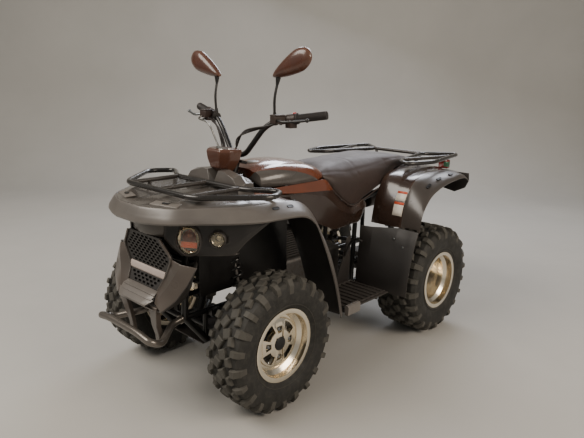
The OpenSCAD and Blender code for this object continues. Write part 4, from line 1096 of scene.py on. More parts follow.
class QuadLamps(bpy.types.Operator):
    """Lamp panels, oval headlamps, round lamps and tail lamps"""
    bl_idname = "quad.lamps"
    bl_label = "Lamps"

    def execute(self, context):
        clear = lens("Polycarbonate moulded clear", "#fff7e6")
        amber = material("Polycarbonate moulded amber", "#ff5a12", "#ee4a08", 30, (0.1, 0.18), coat=1.0,
                         grain=3.0,
                         depth=0.05)
        bright = chrome()
        for side in (LEFT, RIGHT):
            n = SIDE_NAME[side]
            holes = [(183.1, 667.0, 45, 54), (276.0, 679.0, 29, 29)]
            rows = []
            for x0, dy, z, rise in reversed(LAMP_ROWS):
                rows.append([mm(side * x, lamp_y(x) + dy,
                                mix(z + rise * (x - 104), 752, max(0, x - 318) / 80))
                             for x in (mix(x0, 398, k / 30) for k in range(31))])
            fine = []
            for a, b in zip(rows, rows[1:]):
                fine += [[mix(p, q, k / 6) for p, q in zip(a, b)] for k in range(6)]
            fine.append(rows[-1])
            bm = bmesh.new()
            add_grid(bm, fine)
            gone = [f for f in bm.faces if any(
                ((f.calc_center_median().x * side / MM - cx) / rx * 1.17) ** 2
                + ((f.calc_center_median().z / MM - cz) / rz) ** 2 < 0.92 for cx, cz, rx, rz in holes)]
            bmesh.ops.delete(bm, geom=gone, context="FACES")
            obj = piece(f"lamp_panel_{n}", bm, dark_plastic(), "chassis",
                        ("lamp_panel",) if side == LEFT else (), 25)
            modifier(obj, "SOLIDIFY", thickness=sizes().panel, offset=0.0)
            oval = self.place(147, -713.5, 667, 31, side)
            self.lamp(f"headlamp_{n}", oval, 0.0425, 0.0515, 0.062, 0.080, clear, bright,
                      ("headlights",) if side == LEFT else (), dark_plastic())
            seg = bmesh.new()
            for k in range(8):
                x0, x1 = -0.030 + 0.0075 * k, -0.030 + 0.0075 * (k + 1)
                add_box(seg, Vector(((x0 + x1) / 2, -0.017, 0.070)), (0.0070, 0.020, 0.006))
            seg.transform(oval)
            piece(f"headlamp_amber_{n}", seg, amber, "chassis", (), 0)
            spot = self.place(240.7, -669, 679, 36, side)
            self.lamp(f"round_lamp_{n}", spot, 0.0255, 0.0255, 0.062, 0.077, clear, bright,
                      ("side_lamps",) if side == LEFT else (), dark_plastic())
        # Apron over the grille.
        rows = [[mm(t * w, -842 + 20.2 * t * t, z) for t in (-1, -0.6, -0.2, 0.2, 0.6, 1)]
                for w, z in ((97, 668.5), (103.4, 700), (103.4, 768))]
        obj = sheet_piece("front_apron", rows, sizes().panel, rear_plastic(), "chassis", (),
                          25)
        self.tail()
        return {"FINISHED"}

    def place(self, x, y, z, turn, side):
        m = Matrix.Translation(mm(x, y, z)) @ Matrix.Rotation(math.radians(turn), 4, "Z") \
            @ Matrix.Rotation(math.radians(90), 4, "X")
        return m if side == LEFT else Matrix.Diagonal((-1, 1, 1, 1)) @ m

    def lamp(self, name, place, rx, ry, near, front, clear, bright, replaced, rim):
        """Crowned clear lens, a chromed bowl behind it and a moulded bezel round it."""
        def rings(profile):
            return [[place @ Vector((rx * f * math.cos(a), ry * f * math.sin(a), h))
                     for a in (2 * math.pi * k / 48 for k in range(48))] for f, h in profile]
        bm = bmesh.new()
        verts = add_grid(bm, rings([(1.0, near + 0.004), (1.0, front - 0.007), (0.9, front - 0.003),
                                    (0.6, front - 0.0008), (0.25, front)]), closed=True)
        bm.faces.new(verts[-1])
        obj = piece(name, bm, clear, "chassis", replaced, 40)
        modifier(obj, "SOLIDIFY", thickness=0.0015, offset=-1.0)
        bm = bmesh.new()
        verts = add_grid(bm, rings([(0.97, near + 0.004), (0.85, near - 0.008), (0.55, near - 0.020),
                                    (0.2, near - 0.024)]), closed=True)
        bm.faces.new(verts[-1])
        obj = piece(f"{name}_bowl", bm, bright, "chassis", (), 50)
        modifier(obj, "SOLIDIFY", thickness=0.001, offset=1.0)
        bm = bmesh.new()
        verts = add_grid(bm, rings([(1.02, near - 0.004), (1.02, front - 0.004), (1.06, front - 0.001),
                                    (1.16, front - 0.004), (1.20, near - 0.004)]), closed=True)
        obj = piece(f"{name}_bezel", bm, rim, "chassis", (), 40)

    def tail(self):
        red = material("Acrylic moulded red", "#7d150f", "#5e0e0a", 40, (0.08, 0.16), coat=1.0, grain=4.0,
                       depth=0.1)
        # The rear markers' green is a painted green glint, a reflection, not the lens's own colour.
        painted_glint_green = material("Polycarbonate lens painted green glint", "#2f6b4a", "#1f4a34", 30, (0.1, 0.2), coat=1.0)
        lo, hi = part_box("tail_lights")
        for side in (LEFT, RIGHT):
            x0, x1 = hi.x - 0.056, hi.x
            bm = bmesh.new()
            add_box(bm, Vector((side * (x0 + x1) / 2, (lo.y + hi.y) / 2, (lo.z + hi.z) / 2)),
                    (x1 - x0, hi.y - lo.y, hi.z - lo.z))
            obj = piece(f"tail_lamp_{SIDE_NAME[side]}", bm, red, "chassis",
                        ("tail_lights",) if side == LEFT else (), 30)
            modifier(obj, "BEVEL", width=0.007, segments=4)
            bm = bmesh.new()
            add_box(bm, Vector((side * (x1 - 0.012), lo.y + 0.012, (lo.z + hi.z) / 2)), (0.026, 0.026, 0.030))
            obj = piece(f"rear_marker_{SIDE_NAME[side]}", bm, painted_glint_green, "chassis", (), 30)
            modifier(obj, "BEVEL", width=0.005, segments=3)
        return {"FINISHED"}


# ---------- racks and bumper ----------
class QuadRacks(bpy.types.Operator):
    """Front and rear tube racks and the front bumper"""
    bl_idname = "quad.racks"
    bl_label = "Racks and bumper"

    def execute(self, context):
        bend = sizes().wall_gap
        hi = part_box("front_rack")[1]
        r = RACK_TUBE
        z = hi.z - r - 0.0006
        bm = bmesh.new()
        loop = [(210, -775), (390, -560), (330, -460), (200, -545), (-200, -545), (-330, -460), (-390, -560),
                (-210, -775)]
        sweep(bm, rounded([Vector((x * MM, y * MM, z)) for x, y in loop], bend, closed=True), r, closed=True)
        for x in (-189, 0, 189):
            sweep(bm, [Vector((x * MM, -0.772, z)), Vector((x * MM, -0.548, z))], 0.0088)
        for s in (LEFT, RIGHT):
            sweep(bm, [Vector((s * 0.189, -0.685, 0.716)), Vector((s * 0.189, -0.685, z))], 0.0078)
            add_drum(bm, mm(s * 189, -685, 790), mm(s * 189, -685, 794), 0.0105)
        piece("front_rack_tubes", bm, rack_steel(), "chassis", ("front_rack",), 40)

        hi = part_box("rear_rack")[1]
        z = hi.z - r - 0.0006
        bm = bmesh.new()
        for s in (LEFT, RIGHT):
            loop = [(150, 815), (236, 473), (318, 398), (370, 560), (300, 944.5)]
            sweep(bm, rounded([Vector((s * x * MM, y * MM, z)) for x, y in loop], bend, closed=True), r,
                  closed=True)
            sweep(bm, [Vector((s * 0.225, 0.520, z)), Vector((s * 0.318, 0.850, z))], 0.0088)
            sweep(bm, [Vector((s * 0.150, 0.815, z)), mm(s * 95, 788, 742)], 0.0078)
            add_drum(bm, mm(s * 95, 788, 731), mm(s * 95, 788, 744), 0.0098)
        sweep(bm, [Vector((-0.150, 0.815, z)), Vector((0.150, 0.815, z))], r)
        piece("rear_rack_tubes", bm, rack_steel(), "chassis", ("rear_rack",), 40)

        bm = bmesh.new()
        path = [(95, -753, 334), (95, -798, 326), (168, -890, 304), (172, -941.5, 328), (90, -941.5, 340)]
        path = [mm(*p) for p in path]
        path = path + [flipped(p) for p in reversed(path)]
        sweep(bm, rounded(path, 0.06, steps=8), 0.0133, sides=18)
        for s in (LEFT, RIGHT):
            add_drum(bm, mm(s * 95, -752.5, 334), mm(s * 95, -760, 333), 0.017)
        piece("bumper_tube", bm, bumper_steel(), "chassis", ("front_bumper",), 40)
        return {"FINISHED"}


# ---------- middle body ----------
TANK_ROWS = [(-372, 128, 864), (-320, 150, 879), (-247, 164, 887), (-170, 170, 885),
             (-104, 168, 878), (-50, 160, 862), (-20, 150, 846)]


class QuadTank(bpy.types.Operator):
    """Tank cover, fuel cap and side panels"""
    bl_idname = "quad.tank"
    bl_label = "Tank and side panels"

    def execute(self, context):
        lo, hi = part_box("tank_cover")
        base = lo.z
        rows = []
        for y, w, z in TANK_ROWS:
            w, z = w * MM, z * MM
            row = []
            for k in range(25):
                a = math.pi * (1 - k / 24)
                c = math.cos(a)
                shoulder = abs(c) ** 0.62
                dip = -0.006 * math.exp(-((abs(c) - 0.45) / 0.12) ** 2)
                row.append(Vector((w * math.copysign(shoulder, c), y * MM,
                                   base + (z - base) * math.sin(a) ** 0.62 + dip * math.sin(a))))
            rows.append(row)
        fine = [list(p) for p in zip(*[spline(list(col), 4) for col in zip(*rows)])]
        bm = bmesh.new()
        verts = add_grid(bm, fine)
        for end in (verts[0], verts[-1]):
            middle = bm.verts.new(sum((v.co for v in end), Vector()) / len(end))
            for a, b in zip(end, end[1:]):
                bm.faces.new((a, b, middle))
        obj = piece("tank_shell", bm, brown_gloss(), "chassis", ("tank_cover",), 45)
        # The lower front slopes are moulded dark.
        for side in (LEFT, RIGHT):
            two_tone(obj, mm(side * 100, -372, 864), Vector((side * 0.62, -0.28, -0.73)), deck_plastic(),
                     side)
        modifier(obj, "SOLIDIFY", thickness=0.003, offset=-1.0)
        # Fuel cap with a ribbed rim.
        place = Matrix.Translation(Vector((0, -0.300, hi.z - 0.010)))
        bm = bmesh.new()
        add_turned(bm, [(0.0, 0.0085), (0.020, 0.0085), (0.027, 0.006), (0.030, 0.0), (0.030, -0.012),
                        (0.0, -0.012)],
                   place, sides=48)
        for k in range(24):
            a = 2 * math.pi * k / 24
            add_box(bm, place @ Vector((0.0302 * math.cos(a), 0.0302 * math.sin(a), -0.004)),
                    (0.003, 0.004, 0.010),
                    Matrix.Rotation(a, 3, "Z"))
        piece("fuel_cap", bm, material("Nylon moulded grey", "#7b7875", "#615e5b", 30, (0.35, 0.5), grain=1.0,
                                       depth=0.08), "chassis", (), 30)
        for side in (LEFT, RIGHT):
            self.panel(side)
        return {"FINISHED"}

    def panel(self, side):
        """Bulged side panel with a crease along its middle."""
        upper = [(-446, 795.5), (-330, 795.5), (-210, 795.5), (-80, 795.5), (-20, 795), (20, 762), (66, 712),
                 (120, 674), (178, 647), (225, 658), (264, 668), (299, 641)]
        lower = [(-446, 750), (-330, 740), (-210, 700), (-120, 640), (-80, 610), (0, 575), (60, 552),
                 (110, 552),
                 (150, 554), (200, 556), (250, 560), (275, 600)]
        rows = []
        for (uy, uz), (ly, lz) in zip(upper, lower):
            row = []
            for k in range(9):
                t = k / 8
                bulge = 0.012 * math.sin(math.pi * min(1, t)) ** 0.8 + (0.006 if 0.3 < t < 0.45 else 0.0)
                fade = min(1.0, (uy + 446) / 60) * min(1.0, (320 - uy) / 60)
                row.append(Vector((side * (0.1672 + bulge * fade), mix(uy, ly, t) * MM, mix(uz, lz, t) * MM)))
            rows.append(row)
        fine = [list(p) for p in zip(*[spline(list(col), 3) for col in zip(*rows)])]
        obj = sheet_piece(f"side_panel_{SIDE_NAME[side]}", fine, 0.0032, brown_gloss(), "chassis",
                          ("side_panels",) if side == LEFT else (), 24, edge=0.0012)
        # Orange brown along the tank only; below it the panel is the dark gloss plastic.
        two_tone(obj, mm(0, 0, 744), Vector((0, -0.08, -1)), fender_plastic(), side)


def two_tone(obj, point, normal, second, side):
    """Cut the mesh along a plane, on one side of the quad bike, and give what lies beyond it a second
    material."""
    bm = bmesh.new()
    bm.from_mesh(obj.data)
    faces = [f for f in bm.faces if f.calc_center_median().x * side > 0]
    edges = {e for f in faces for e in f.edges}
    verts = {v for f in faces for v in f.verts}
    bmesh.ops.bisect_plane(bm, geom=list(verts) + list(edges) + faces, dist=1e-5, plane_co=point,
                           plane_no=normal)
    if second.name not in obj.data.materials:
        obj.data.materials.append(second)
    for f in bm.faces:
        c = f.calc_center_median()
        if c.x * side > 0 and (c - point).dot(normal) > 0:
            f.material_index = 1
    bm.to_mesh(obj.data)
    bm.free()


# Seat rings: middle y, side y, top z, lower edge z, half width in millimetres.
SEAT_ROWS = [(30, -8, 826, 796, 152), (75, 40, 842, 738, 166), (130, 105, 850, 684, 174),
             (190, 178, 853, 648, 178),
             (270, 265, 856, 670, 179), (350, 345, 858, 697, 180), (450, 440, 860, 732, 180),
             (545, 530, 857, 786, 178), (640, 622, 847, 798, 164), (740, 722, 830, 796, 140),
             (815, 795, 808, 790, 108)]


def seat_ring(row, inset, count=40):
    """Closed ring of one seat row, pulled in by inset; the underside runs along the lower edge."""
    my, sy, top, low, half = (v * MM for v in row)
    half -= inset
    top -= inset
    low += inset * 0.6
    ring = []
    for k in range(count + 1):
        a = math.pi * (1 - k / count)
        c, s = math.cos(a), math.sin(a)
        ring.append(Vector((half * math.copysign(abs(c) ** 0.6, c), mix(my, sy, abs(c)),
                            low + (top - low) * s ** 0.5)))
    under = max(low, 0.752)
    flat = half - 0.030
    for k in range(9):
        x = mix(half - 0.020, -(half - 0.020), k / 8)
        z = low if k in (0, 8) else under
        x = x if k in (0, 8) else max(-flat, min(flat, x))
        ring.append(Vector((x, mix(my, sy, abs(x) / half), z)))
    return ring


class QuadSeat(bpy.types.Operator):
    """Padded saddle with its seams"""
    bl_idname = "quad.seat"
    bl_label = "Seat"

    def execute(self, context):
        swell = 0.004
        rings = [seat_ring(r, swell) for r in SEAT_ROWS]
        fine = [list(p) for p in zip(*[spline(list(col), 5) for col in zip(*rings)])]
        bm = bmesh.new()
        verts = add_grid(bm, fine, closed=True)
        for end in (verts[0], verts[-1]):
            middle = bm.verts.new(sum((v.co for v in end), Vector()) / len(end))
            for a, b in zip(end, end[1:] + end[:1]):
                bm.faces.new((a, b, middle))
        obj = piece("seat_cover", bm, vinyl(), "chassis", ("seat",), 60)
        modifier(obj, "REMESH", mode="VOXEL", voxel_size=0.006, use_smooth_shade=True)
        apply_modifiers(obj)
        self.inflate(obj)
        rings = [seat_ring(r, -0.0005) for r in SEAT_ROWS]
        fine = [list(p) for p in zip(*[spline(list(col), 5) for col in zip(*rings)])]
        self.seams(obj, fine)
        modifier(obj, "SMOOTH", factor=0.5, iterations=3)
        # Piping along the lower edge on each side.
        bm = bmesh.new()
        for col in (0, 40):
            sweep(bm, [r[col] + Vector((0, 0, 0.001)) for r in fine[1:-1]], 0.0024, sides=8)
        piece("seat_piping", bm, vinyl(), "chassis", (), 60)
        return {"FINISHED"}

    def inflate(self, obj):
        """Cloth pressure from inside, with the travel of each point capped."""
        start = [v.co.copy() for v in obj.data.vertices]
        cloth = obj.modifiers.new("Cloth", "CLOTH")
        cloth.settings.use_pressure = True
        cloth.settings.uniform_pressure_force = 4.0
        cloth.settings.effector_weights.gravity = 0.0
        cloth.settings.quality = 4
        scene = bpy.context.scene
        for f in range(1, 15):
            scene.frame_set(f)
        dg = bpy.context.evaluated_depsgraph_get()
        moved = [v.co.copy() for v in obj.evaluated_get(dg).data.vertices]
        obj.modifiers.remove(cloth)
        cap = 0.0055
        for v, a, b in zip(obj.data.vertices, start, moved):
            d = b - a
            v.co = a + d * min(1.0, cap / max(d.length, 1e-9))
        scene.frame_set(1)

    def seams(self, obj, fine):
        """Sewn channels: a narrow groove along two lines on each side of the crown."""
        lines = []
        for col in (9, 31):
            lines.append([r[col] for r in fine])
        cross = [fine[18][k] for k in range(6, 35)]
        lines.append(cross)
        points = [mix(a, b, k / 8) for line in lines for a, b in zip(line, line[1:]) for k in range(8)]
        tree = KDTree(len(points))
        for i, p in enumerate(points):
            tree.insert(p, i)
        tree.balance()
        mesh = obj.data
        mesh.update()
        normals = [v.normal.copy() for v in mesh.vertices]
        for v, n in zip(mesh.vertices, normals):
            d = tree.find(v.co)[2]
            if d < 0.016:
                v.co -= n * 0.0035 * (1 - d / 0.016) ** 2


def apply_modifiers(obj):
    dg = bpy.context.evaluated_depsgraph_get()
    mesh = bpy.data.meshes.new_from_object(obj.evaluated_get(dg))
    old = obj.data
    obj.modifiers.clear()
    obj.data = mesh
    bpy.data.meshes.remove(old)


# ---------- rear body ----------
ARCH = [((465, 312, 548), (356, 322, 548)), ((465, 326, 615), (356, 340, 640)),
        ((464, 359, 665), (357, 372, 712)),
        ((463, 413, 708), (358, 415, 760)), ((462, 500, 738), (358, 500, 784)),
        ((461, 610, 755), (358, 610, 790)),
        ((460, 722, 760), (358, 730, 788)), ((452, 790, 735), (356, 810, 770))]
MUDGUARD = [(547, (232, 250, 318, 312, 308)), (480, (226, 240, 285, 284, 280)),
            (400, (218, 228, 255, 258, 256)),
            (330, (210, 216, 232, 240, 240)), (250, (206, 210, 224, 232, 234))]
MUDGUARD_X = (192, 250, 350, 420, 464)


class QuadRearBody(bpy.types.Operator):
    """Rear flares, fender, mudguards, labels and flaps"""
    bl_idname = "quad.rear_body"
    bl_label = "Rear body"

    def execute(self, context):
        lips = spline([mm(*a[0]) for a in ARCH], 4)
        rims = spline([mm(*a[1]) for a in ARCH], 4)
        marks = bmesh.new()
        screws = bmesh.new()
        for side in (LEFT, RIGHT):
            f = (lambda p: p) if side == LEFT else flipped
            n = SIDE_NAME[side]
            rows = []
            for a, b in zip(lips, rims):
                crest = mix(a, b, 0.18) + mm(0, 0, 8)
                top = mix(crest, b, 0.5) + mm(0, 0, 4)
                rows.append([f(p) for p in (a + mm(-3, 2, -4), a, mix(a, crest, 0.6) + mm(1, 0, 0), crest,
                                            mix(crest, top, 0.5), top, mix(top, b, 0.5), b)])
            sheet_piece(f"rear_flare_{n}", [list(reversed(r)) for r in rows], sizes().panel, rear_plastic(),
                        "chassis", ("rear_flares",) if side == LEFT else (), 30)
            # Deck of the fender, with a raised step beside the seat.
            rows = []
            for i, p in enumerate(rims):
                t = i / (len(rims) - 1)
                step = 0.010 * min(1.0, max(0.0, (t - 0.3) / 0.15))
                rows.append([f(Vector((mix(p.x - 0.0005, 0.186, u), p.y,
                                       p.z + step * (u > 0.35) - 0.002 * (u > 0.1))))
                             for u in (0.0, 0.08, 0.34, 0.42, 0.7, 1.0)])
            sheet_piece(f"rear_fender_{n}", rows, sizes().panel, fender_plastic(), "chassis",
                        ("rear_fender",) if side == LEFT else (), 18)
            for i, t in ((13, 0.35), (17, 0.35), (21, 0.35)):
                here = f(mix(lips[i], rims[i], t) + mm(0, 0, 11.5))
                add_slot(marks, here, (f(lips[i + 1]) - f(lips[i - 1])).normalized(),
                         (f(rims[i]) - f(lips[i])).normalized(), 0.034, 0.012)
            rows = []
            for z, ys in MUDGUARD:
                rows.append([mm(side * x, y, z) for x, y in zip(MUDGUARD_X, ys)])
            sheet_piece(f"mudguard_{n}", rows, sizes().panel, dark_plastic(), "chassis",
                        ("mudguards",) if side == LEFT else (), 10)
            for x, z in ((300, 520), (345, 500), (400, 470)):
                y = mix(300, 283, (540 - z) / 70)
                add_turned(screws,
                           [(0, 0.003), (0.005, 0.0028), (0.0068, 0.0), (0.0068, -0.004), (0, -0.004)],
                           Matrix.Translation(mm(side * x, y - 6, z)) @ Matrix.Rotation(math.pi / 2, 4, "X"),
                           sides=16)
            # Inner wall of the wheel arch, and the flap behind the wheel.
            wall = [[f(Vector((0.188, p.y + 0.002, p.z - 0.004))), f(Vector((0.188, p.y + 0.004,
                                                                              max(0.548, p.z - 0.07))))]
                    for p in rims[8:]]
            sheet_piece(f"rear_arch_{n}", wall, 0.003, dark_plastic(), "chassis", (), 30)
            flap = [[mm(side * x, 812 + s, z) for x in (196, 280, 370, 440)] for s, z in
                    ((-2, 770), (6, 730), (10, 690))]
            flap[2] = [mm(side * x, y, z) for x, y, z in ((210, 820, 690), (280, 824, 676), (360, 826, 660),
                                                          (420, 822, 690))]
            sheet_piece(f"rear_flap_{n}", flap, 0.003, dark_plastic(), "chassis", (), 20)
        piece("rear_slots", marks, moulded_black(), "chassis", (), 0)
        piece("mudguard_screws", screws, zinc_steel(), "chassis", (), 30)
        # Deck plate between the fenders.
        rows = [[mm(x, y, 774.5 + 6 * (1 - (x / 187) ** 2)) for x in (-186.5, -120, -40, 40, 120, 186.5)]
                for y in (560, 640, 720, 800, 860)]
        sheet_piece("rear_deck", rows, 0.004, dark_plastic(), "chassis", (), 20)
        self.labels()
        return {"FINISHED"}

    def labels(self):
        """Two blank stickers on the left flare, each pale with a red header."""
        paper = material("Vinyl film printed pale", "#e9e2d6", "#d9d0c2", 40, (0.4, 0.5), grain=1.5,
                         depth=0.02)
        header = material("Vinyl film printed red", "#c8512f", "#b54425", 40, (0.4, 0.5), grain=1.5,
                          depth=0.02)
        rims = spline([mm(*a[1]) for a in ARCH], 4)
        for k, (t0, t1) in enumerate(((2.4, 5.2), (5.5, 8.0))):
            for name, a, b, mat, up in (("face", t0, t1, paper, 0.0026),
                                        ("header", t1 - 0.6, t1, header, 0.0032)):
                rows = []
                for step in range(4):
                    t = mix(a, b, step / 3)
                    rim = mix(rims[int(t)], rims[int(t) + 1], t - int(t))
                    out = Vector((0.0, -0.85, 0.53)) * up
                    rows.append([Vector((mix(rim.x, 0.186, u), rim.y, rim.z)) + out for u in (0.02, 0.17,
                            0.33)])
                bm = bmesh.new()
                add_grid(bm, rows)
                obj = piece(f"label_{k + 1}_{name}", bm, mat, "chassis", (), 40)
                modifier(obj, "SOLIDIFY", thickness=0.0005, offset=0.0)


class QuadFootwells(bpy.types.Operator):
    """Footboards with raised ribs, outer beams and heel guards"""
    bl_idname = "quad.footwells"
    bl_label = "Footboards"

    def execute(self, context):
        lo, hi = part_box("footwells")
        for side in (LEFT, RIGHT):
            n = SIDE_NAME[side]
            bm = bmesh.new()
            front, back = lo.y, 0.205
            add_box(bm, Vector((side * 0.268, (front + back) / 2, 0.265)), (0.236, back - front, 0.006))
            for k in range(9):
                y = mix(front + 0.03, back - 0.02, k / 8)
                add_box(bm, Vector((side * 0.275, y, 0.2705)), (0.200, 0.010, 0.007))
            for x in (0.175, 0.37):
                add_box(bm, Vector((side * x, (front + back) / 2, 0.271)),
                        (0.010, back - front - 0.02, 0.008))
            obj = piece(f"footboard_{n}", bm, dark_plastic(), "chassis",
                        ("footwells",) if side == LEFT else (), 30)
            modifier(obj, "BEVEL", width=0.0015, segments=2, limit_method="ANGLE")
            rows = []
            for y in [mix(lo.y, hi.y - 0.265, k / 10) for k in range(11)]:
                rows.append([Vector((side * x, y, z)) for x, z in
                             ((0.385, 0.249), (0.385, 0.290), (0.389, 0.294), (0.400, 0.292), (0.405, 0.286),
                              (0.405, 0.252), (0.400, 0.247))])
            bm = bmesh.new()
            verts = add_grid(bm, [[p for p in r] for r in rows], closed=True)
            bm.faces.new(verts[0])
            bm.faces.new(verts[-1])
            obj = piece(f"footboard_beam_{n}", bm, flare_plastic(), "chassis", (), 35)
            # Heel guard: a bent plate with a hooked top.
            shape = [(lo.y, 0.262), (0.2055, 0.262), (0.2055, 0.490), (0.175, 0.486), (0.150, 0.380),
                     (0.110, 0.300),
                     (0.060, 0.275), (lo.y, 0.275)]
            bm = cut_plate(shape, [], 0.004, 0.0008)
            for v in bm.verts:
                y, z, deep = v.co
                v.co = Vector((side * (0.152 + deep), y, z))
            piece(f"heel_guard_{n}", bm, dark_plastic(), "chassis", (), 30)
            bm = bmesh.new()
            path = [mm(side * 160, 160, 400), mm(side * 176, 172, 470), mm(side * 206, 182, 492),
                    mm(side * 236, 186, 484)]
            sweep(bm, rounded(path, 0.03), 0.006)
            piece(f"heel_hook_{n}", bm, black_steel(), "chassis", (), 40)
        return {"FINISHED"}


# ---------- controls ----------
class QuadControls(bpy.types.Operator):
    """Handlebar, grips, switchgear, levers, cables, mirrors and the dial pod"""
    bl_idname = "quad.controls"
    bl_label = "Controls"

    def execute(self, context):
        path = self.bar_path()
        full = [flipped(p) for p in reversed(path)] + path
        bm = bmesh.new()
        sweep(bm, rounded(full, 0.06, steps=8), HANDLEBAR_TUBE, sides=18)
        piece("bar_tube", bm, black_steel(), "steering", ("handlebar",), 40)
        for side in (LEFT, RIGHT):
            self.hand(side, path)
            self.mirror(side, path)
        self.pod()
        self.cables(path)
        return {"FINISHED"}

    def bar_path(self):
        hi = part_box("handlebar")[1]
        lean = STEM_LEAN
        low = Vector((0, -HALF_WHEELBASE - 0.071, 0.283)) + 0.6708 * Vector((0, math.sin(lean),
                math.cos(lean)))
        return [low + mm(38, 0, 0), mm(150, -358, 1058), Vector((hi.x, -0.281, 1.093))]

    def along(self, path, d):
        inward = (path[1] - path[2]).normalized()
        return path[2] + d * MM * inward

    def hand(self, side, path):
        f = (lambda p: p) if side == LEFT else flipped
        n = SIDE_NAME[side]

        def at(d, x=0, y=0, z=0):
            return f(self.along(path, d) + mm(x, y, z))
        # Grip: ribs 4 mm apart and an end flange.
        line = [at(-5.5), at(-5)]
        radii = [0.010, 0.0155]
        for k in range(58):
            d = -4 + k * 2.0
            line.append(at(d))
            radii.append(0.0165 if k % 2 else 0.0152)
        line += [at(112.5), at(113), at(117.5), at(118)]
        radii += [0.0165, 0.0212, 0.0215, 0.0200]
        bm = bmesh.new()
        sweep(bm, line, radii, sides=24)
        piece(f"grip_{n}", bm, moulded_rubber(), "steering",
              ("grips",) if side == LEFT else (), 25)
        # Switch housing and lever bracket.
        bm = bmesh.new()
        sweep(bm, [at(119), at(121), at(138), at(139), at(141), at(142), at(159), at(161)],
              [0.018, 0.0208, 0.0208, 0.0198, 0.0198, 0.0208, 0.0208, 0.018], sides=28)
        turn = Matrix.Rotation(math.radians(-7 * side), 3, "Z")
        add_box(bm, at(140, 0, -3, -21), (0.032, 0.034, 0.024), turn)
        sweep(bm, [at(157), at(158), at(186), at(187)], [0.0140, 0.0158, 0.0158, 0.0140], sides=24)
        add_box(bm, at(172, 0, -35, 2), (0.034, 0.052, 0.028), turn)
        add_box(bm, at(172, 0, -37, 19), (0.036, 0.050, 0.006), turn)
        obj = piece(f"switchgear_{n}", bm, control_plastic(), "steering",
                    ("hand_controls",) if side == LEFT else (), 30)
        modifier(obj, "BEVEL", width=0.002, segments=2, limit_method="ANGLE", angle_limit=math.radians(45))
        bm = bmesh.new()
        for x, y in ((-12, -56), (12, -56), (-12, -18), (12, -18)):
            add_drum(bm, at(172, x, y, 21), at(172, x, y, 23), 0.0035, sides=10)
        add_drum(bm, at(172, 0, -20, -14), at(172, 0, -20, -18), 0.005, sides=6)
        piece(f"switchgear_screws_{n}", bm, zinc_steel(), "steering", (), 30)
        # Brake lever: flattened blade with a ball end.
        bm = bmesh.new()
        blade = spline([at(168, 0, -44, 2), at(150, 2, -62, -2), at(122, 4, -76, -9), at(70, 2, -74, -13),
                        at(24, 0, -70, -14)], 6)
        sweep(bm, blade, [0.0062 - 0.0015 * k / (len(blade) - 1) for k in range(len(blade))], sides=12)
        bmesh.ops.create_uvsphere(bm, u_segments=20, v_segments=12, radius=0.0078,
                                  matrix=Matrix.Translation(at(24, 0, -70, -14)))
        piece(f"lever_{n}", bm, zinc_steel() if side == RIGHT else black_steel(), "steering",
              (), 40)
        # Buttons: red with a white ring on the left, thumb throttle on the right.
        bm = bmesh.new()
        if side == LEFT:
            add_turned(bm, [(0, 0.009), (0.006, 0.0085), (0.0075, 0.006), (0.0075, 0.0), (0, 0)],
                       Matrix.Translation(at(134, 0, 8, 17)), sides=24)
            piece("red_button", bm,
                  material("ABS moulded red", "#c2201a", "#a81914", 20, (0.25, 0.35), coat=0.4),
                  "steering", (), 30)
            bm = bmesh.new()
            add_turned(bm, [(0.0078, 0.0035), (0.0098, 0.0035), (0.0098, 0.0), (0.0078, 0.0)],
                       Matrix.Translation(at(134, 0, 8, 17)), sides=24)
            piece("button_ring", bm, material("ABS moulded white", "#e6e2da", "#d5d0c6", 20, (0.3, 0.4)),
                  "steering", (), 30)
        else:
            path2 = [at(140, 0, -14, -14), at(132, 0, -30, -26), at(118, 0, -36, -34)]
            sweep(bm, rounded(path2, 0.01), 0.0045)
            piece("thumb_throttle", bm, moulded_black(), "steering", (), 40)

    def mirror(self, side, path):
        f = (lambda p: p) if side == LEFT else flipped
        n = SIDE_NAME[side]
        base = self.along(path, 214)
        y = -HALF_WHEELBASE + 0.196
        middle = Vector((0.265, y, 1.276))
        stem = [base + mm(0, 0, 12), Vector((base.x + 0.002, y - 0.022, 1.150)),
                Vector((0.181, y - 0.008, 1.208)),
                Vector((middle.x - 0.080, y - 0.006, middle.z - 0.034))]
        bm = bmesh.new()
        bend = rounded(stem, 0.05)
        sweep(bm, [f(p) for p in bend],
              [0.0052 + 0.0058 * max(0.0, (k / (len(bend) - 1) - 0.6) / 0.4) for k in range(len(bend))])
        sweep(bm, [f(self.along(path, 205)), f(self.along(path, 223))], 0.0168, sides=24)
        add_drum(bm, f(base + mm(0, 0, 14)), f(base + mm(0, 0, 34)), 0.0085, 0.006, sides=6)
        piece(f"mirror_stem_{n}", bm, black_steel(), "steering",
              ("mirrors",) if side == LEFT else (), 40)
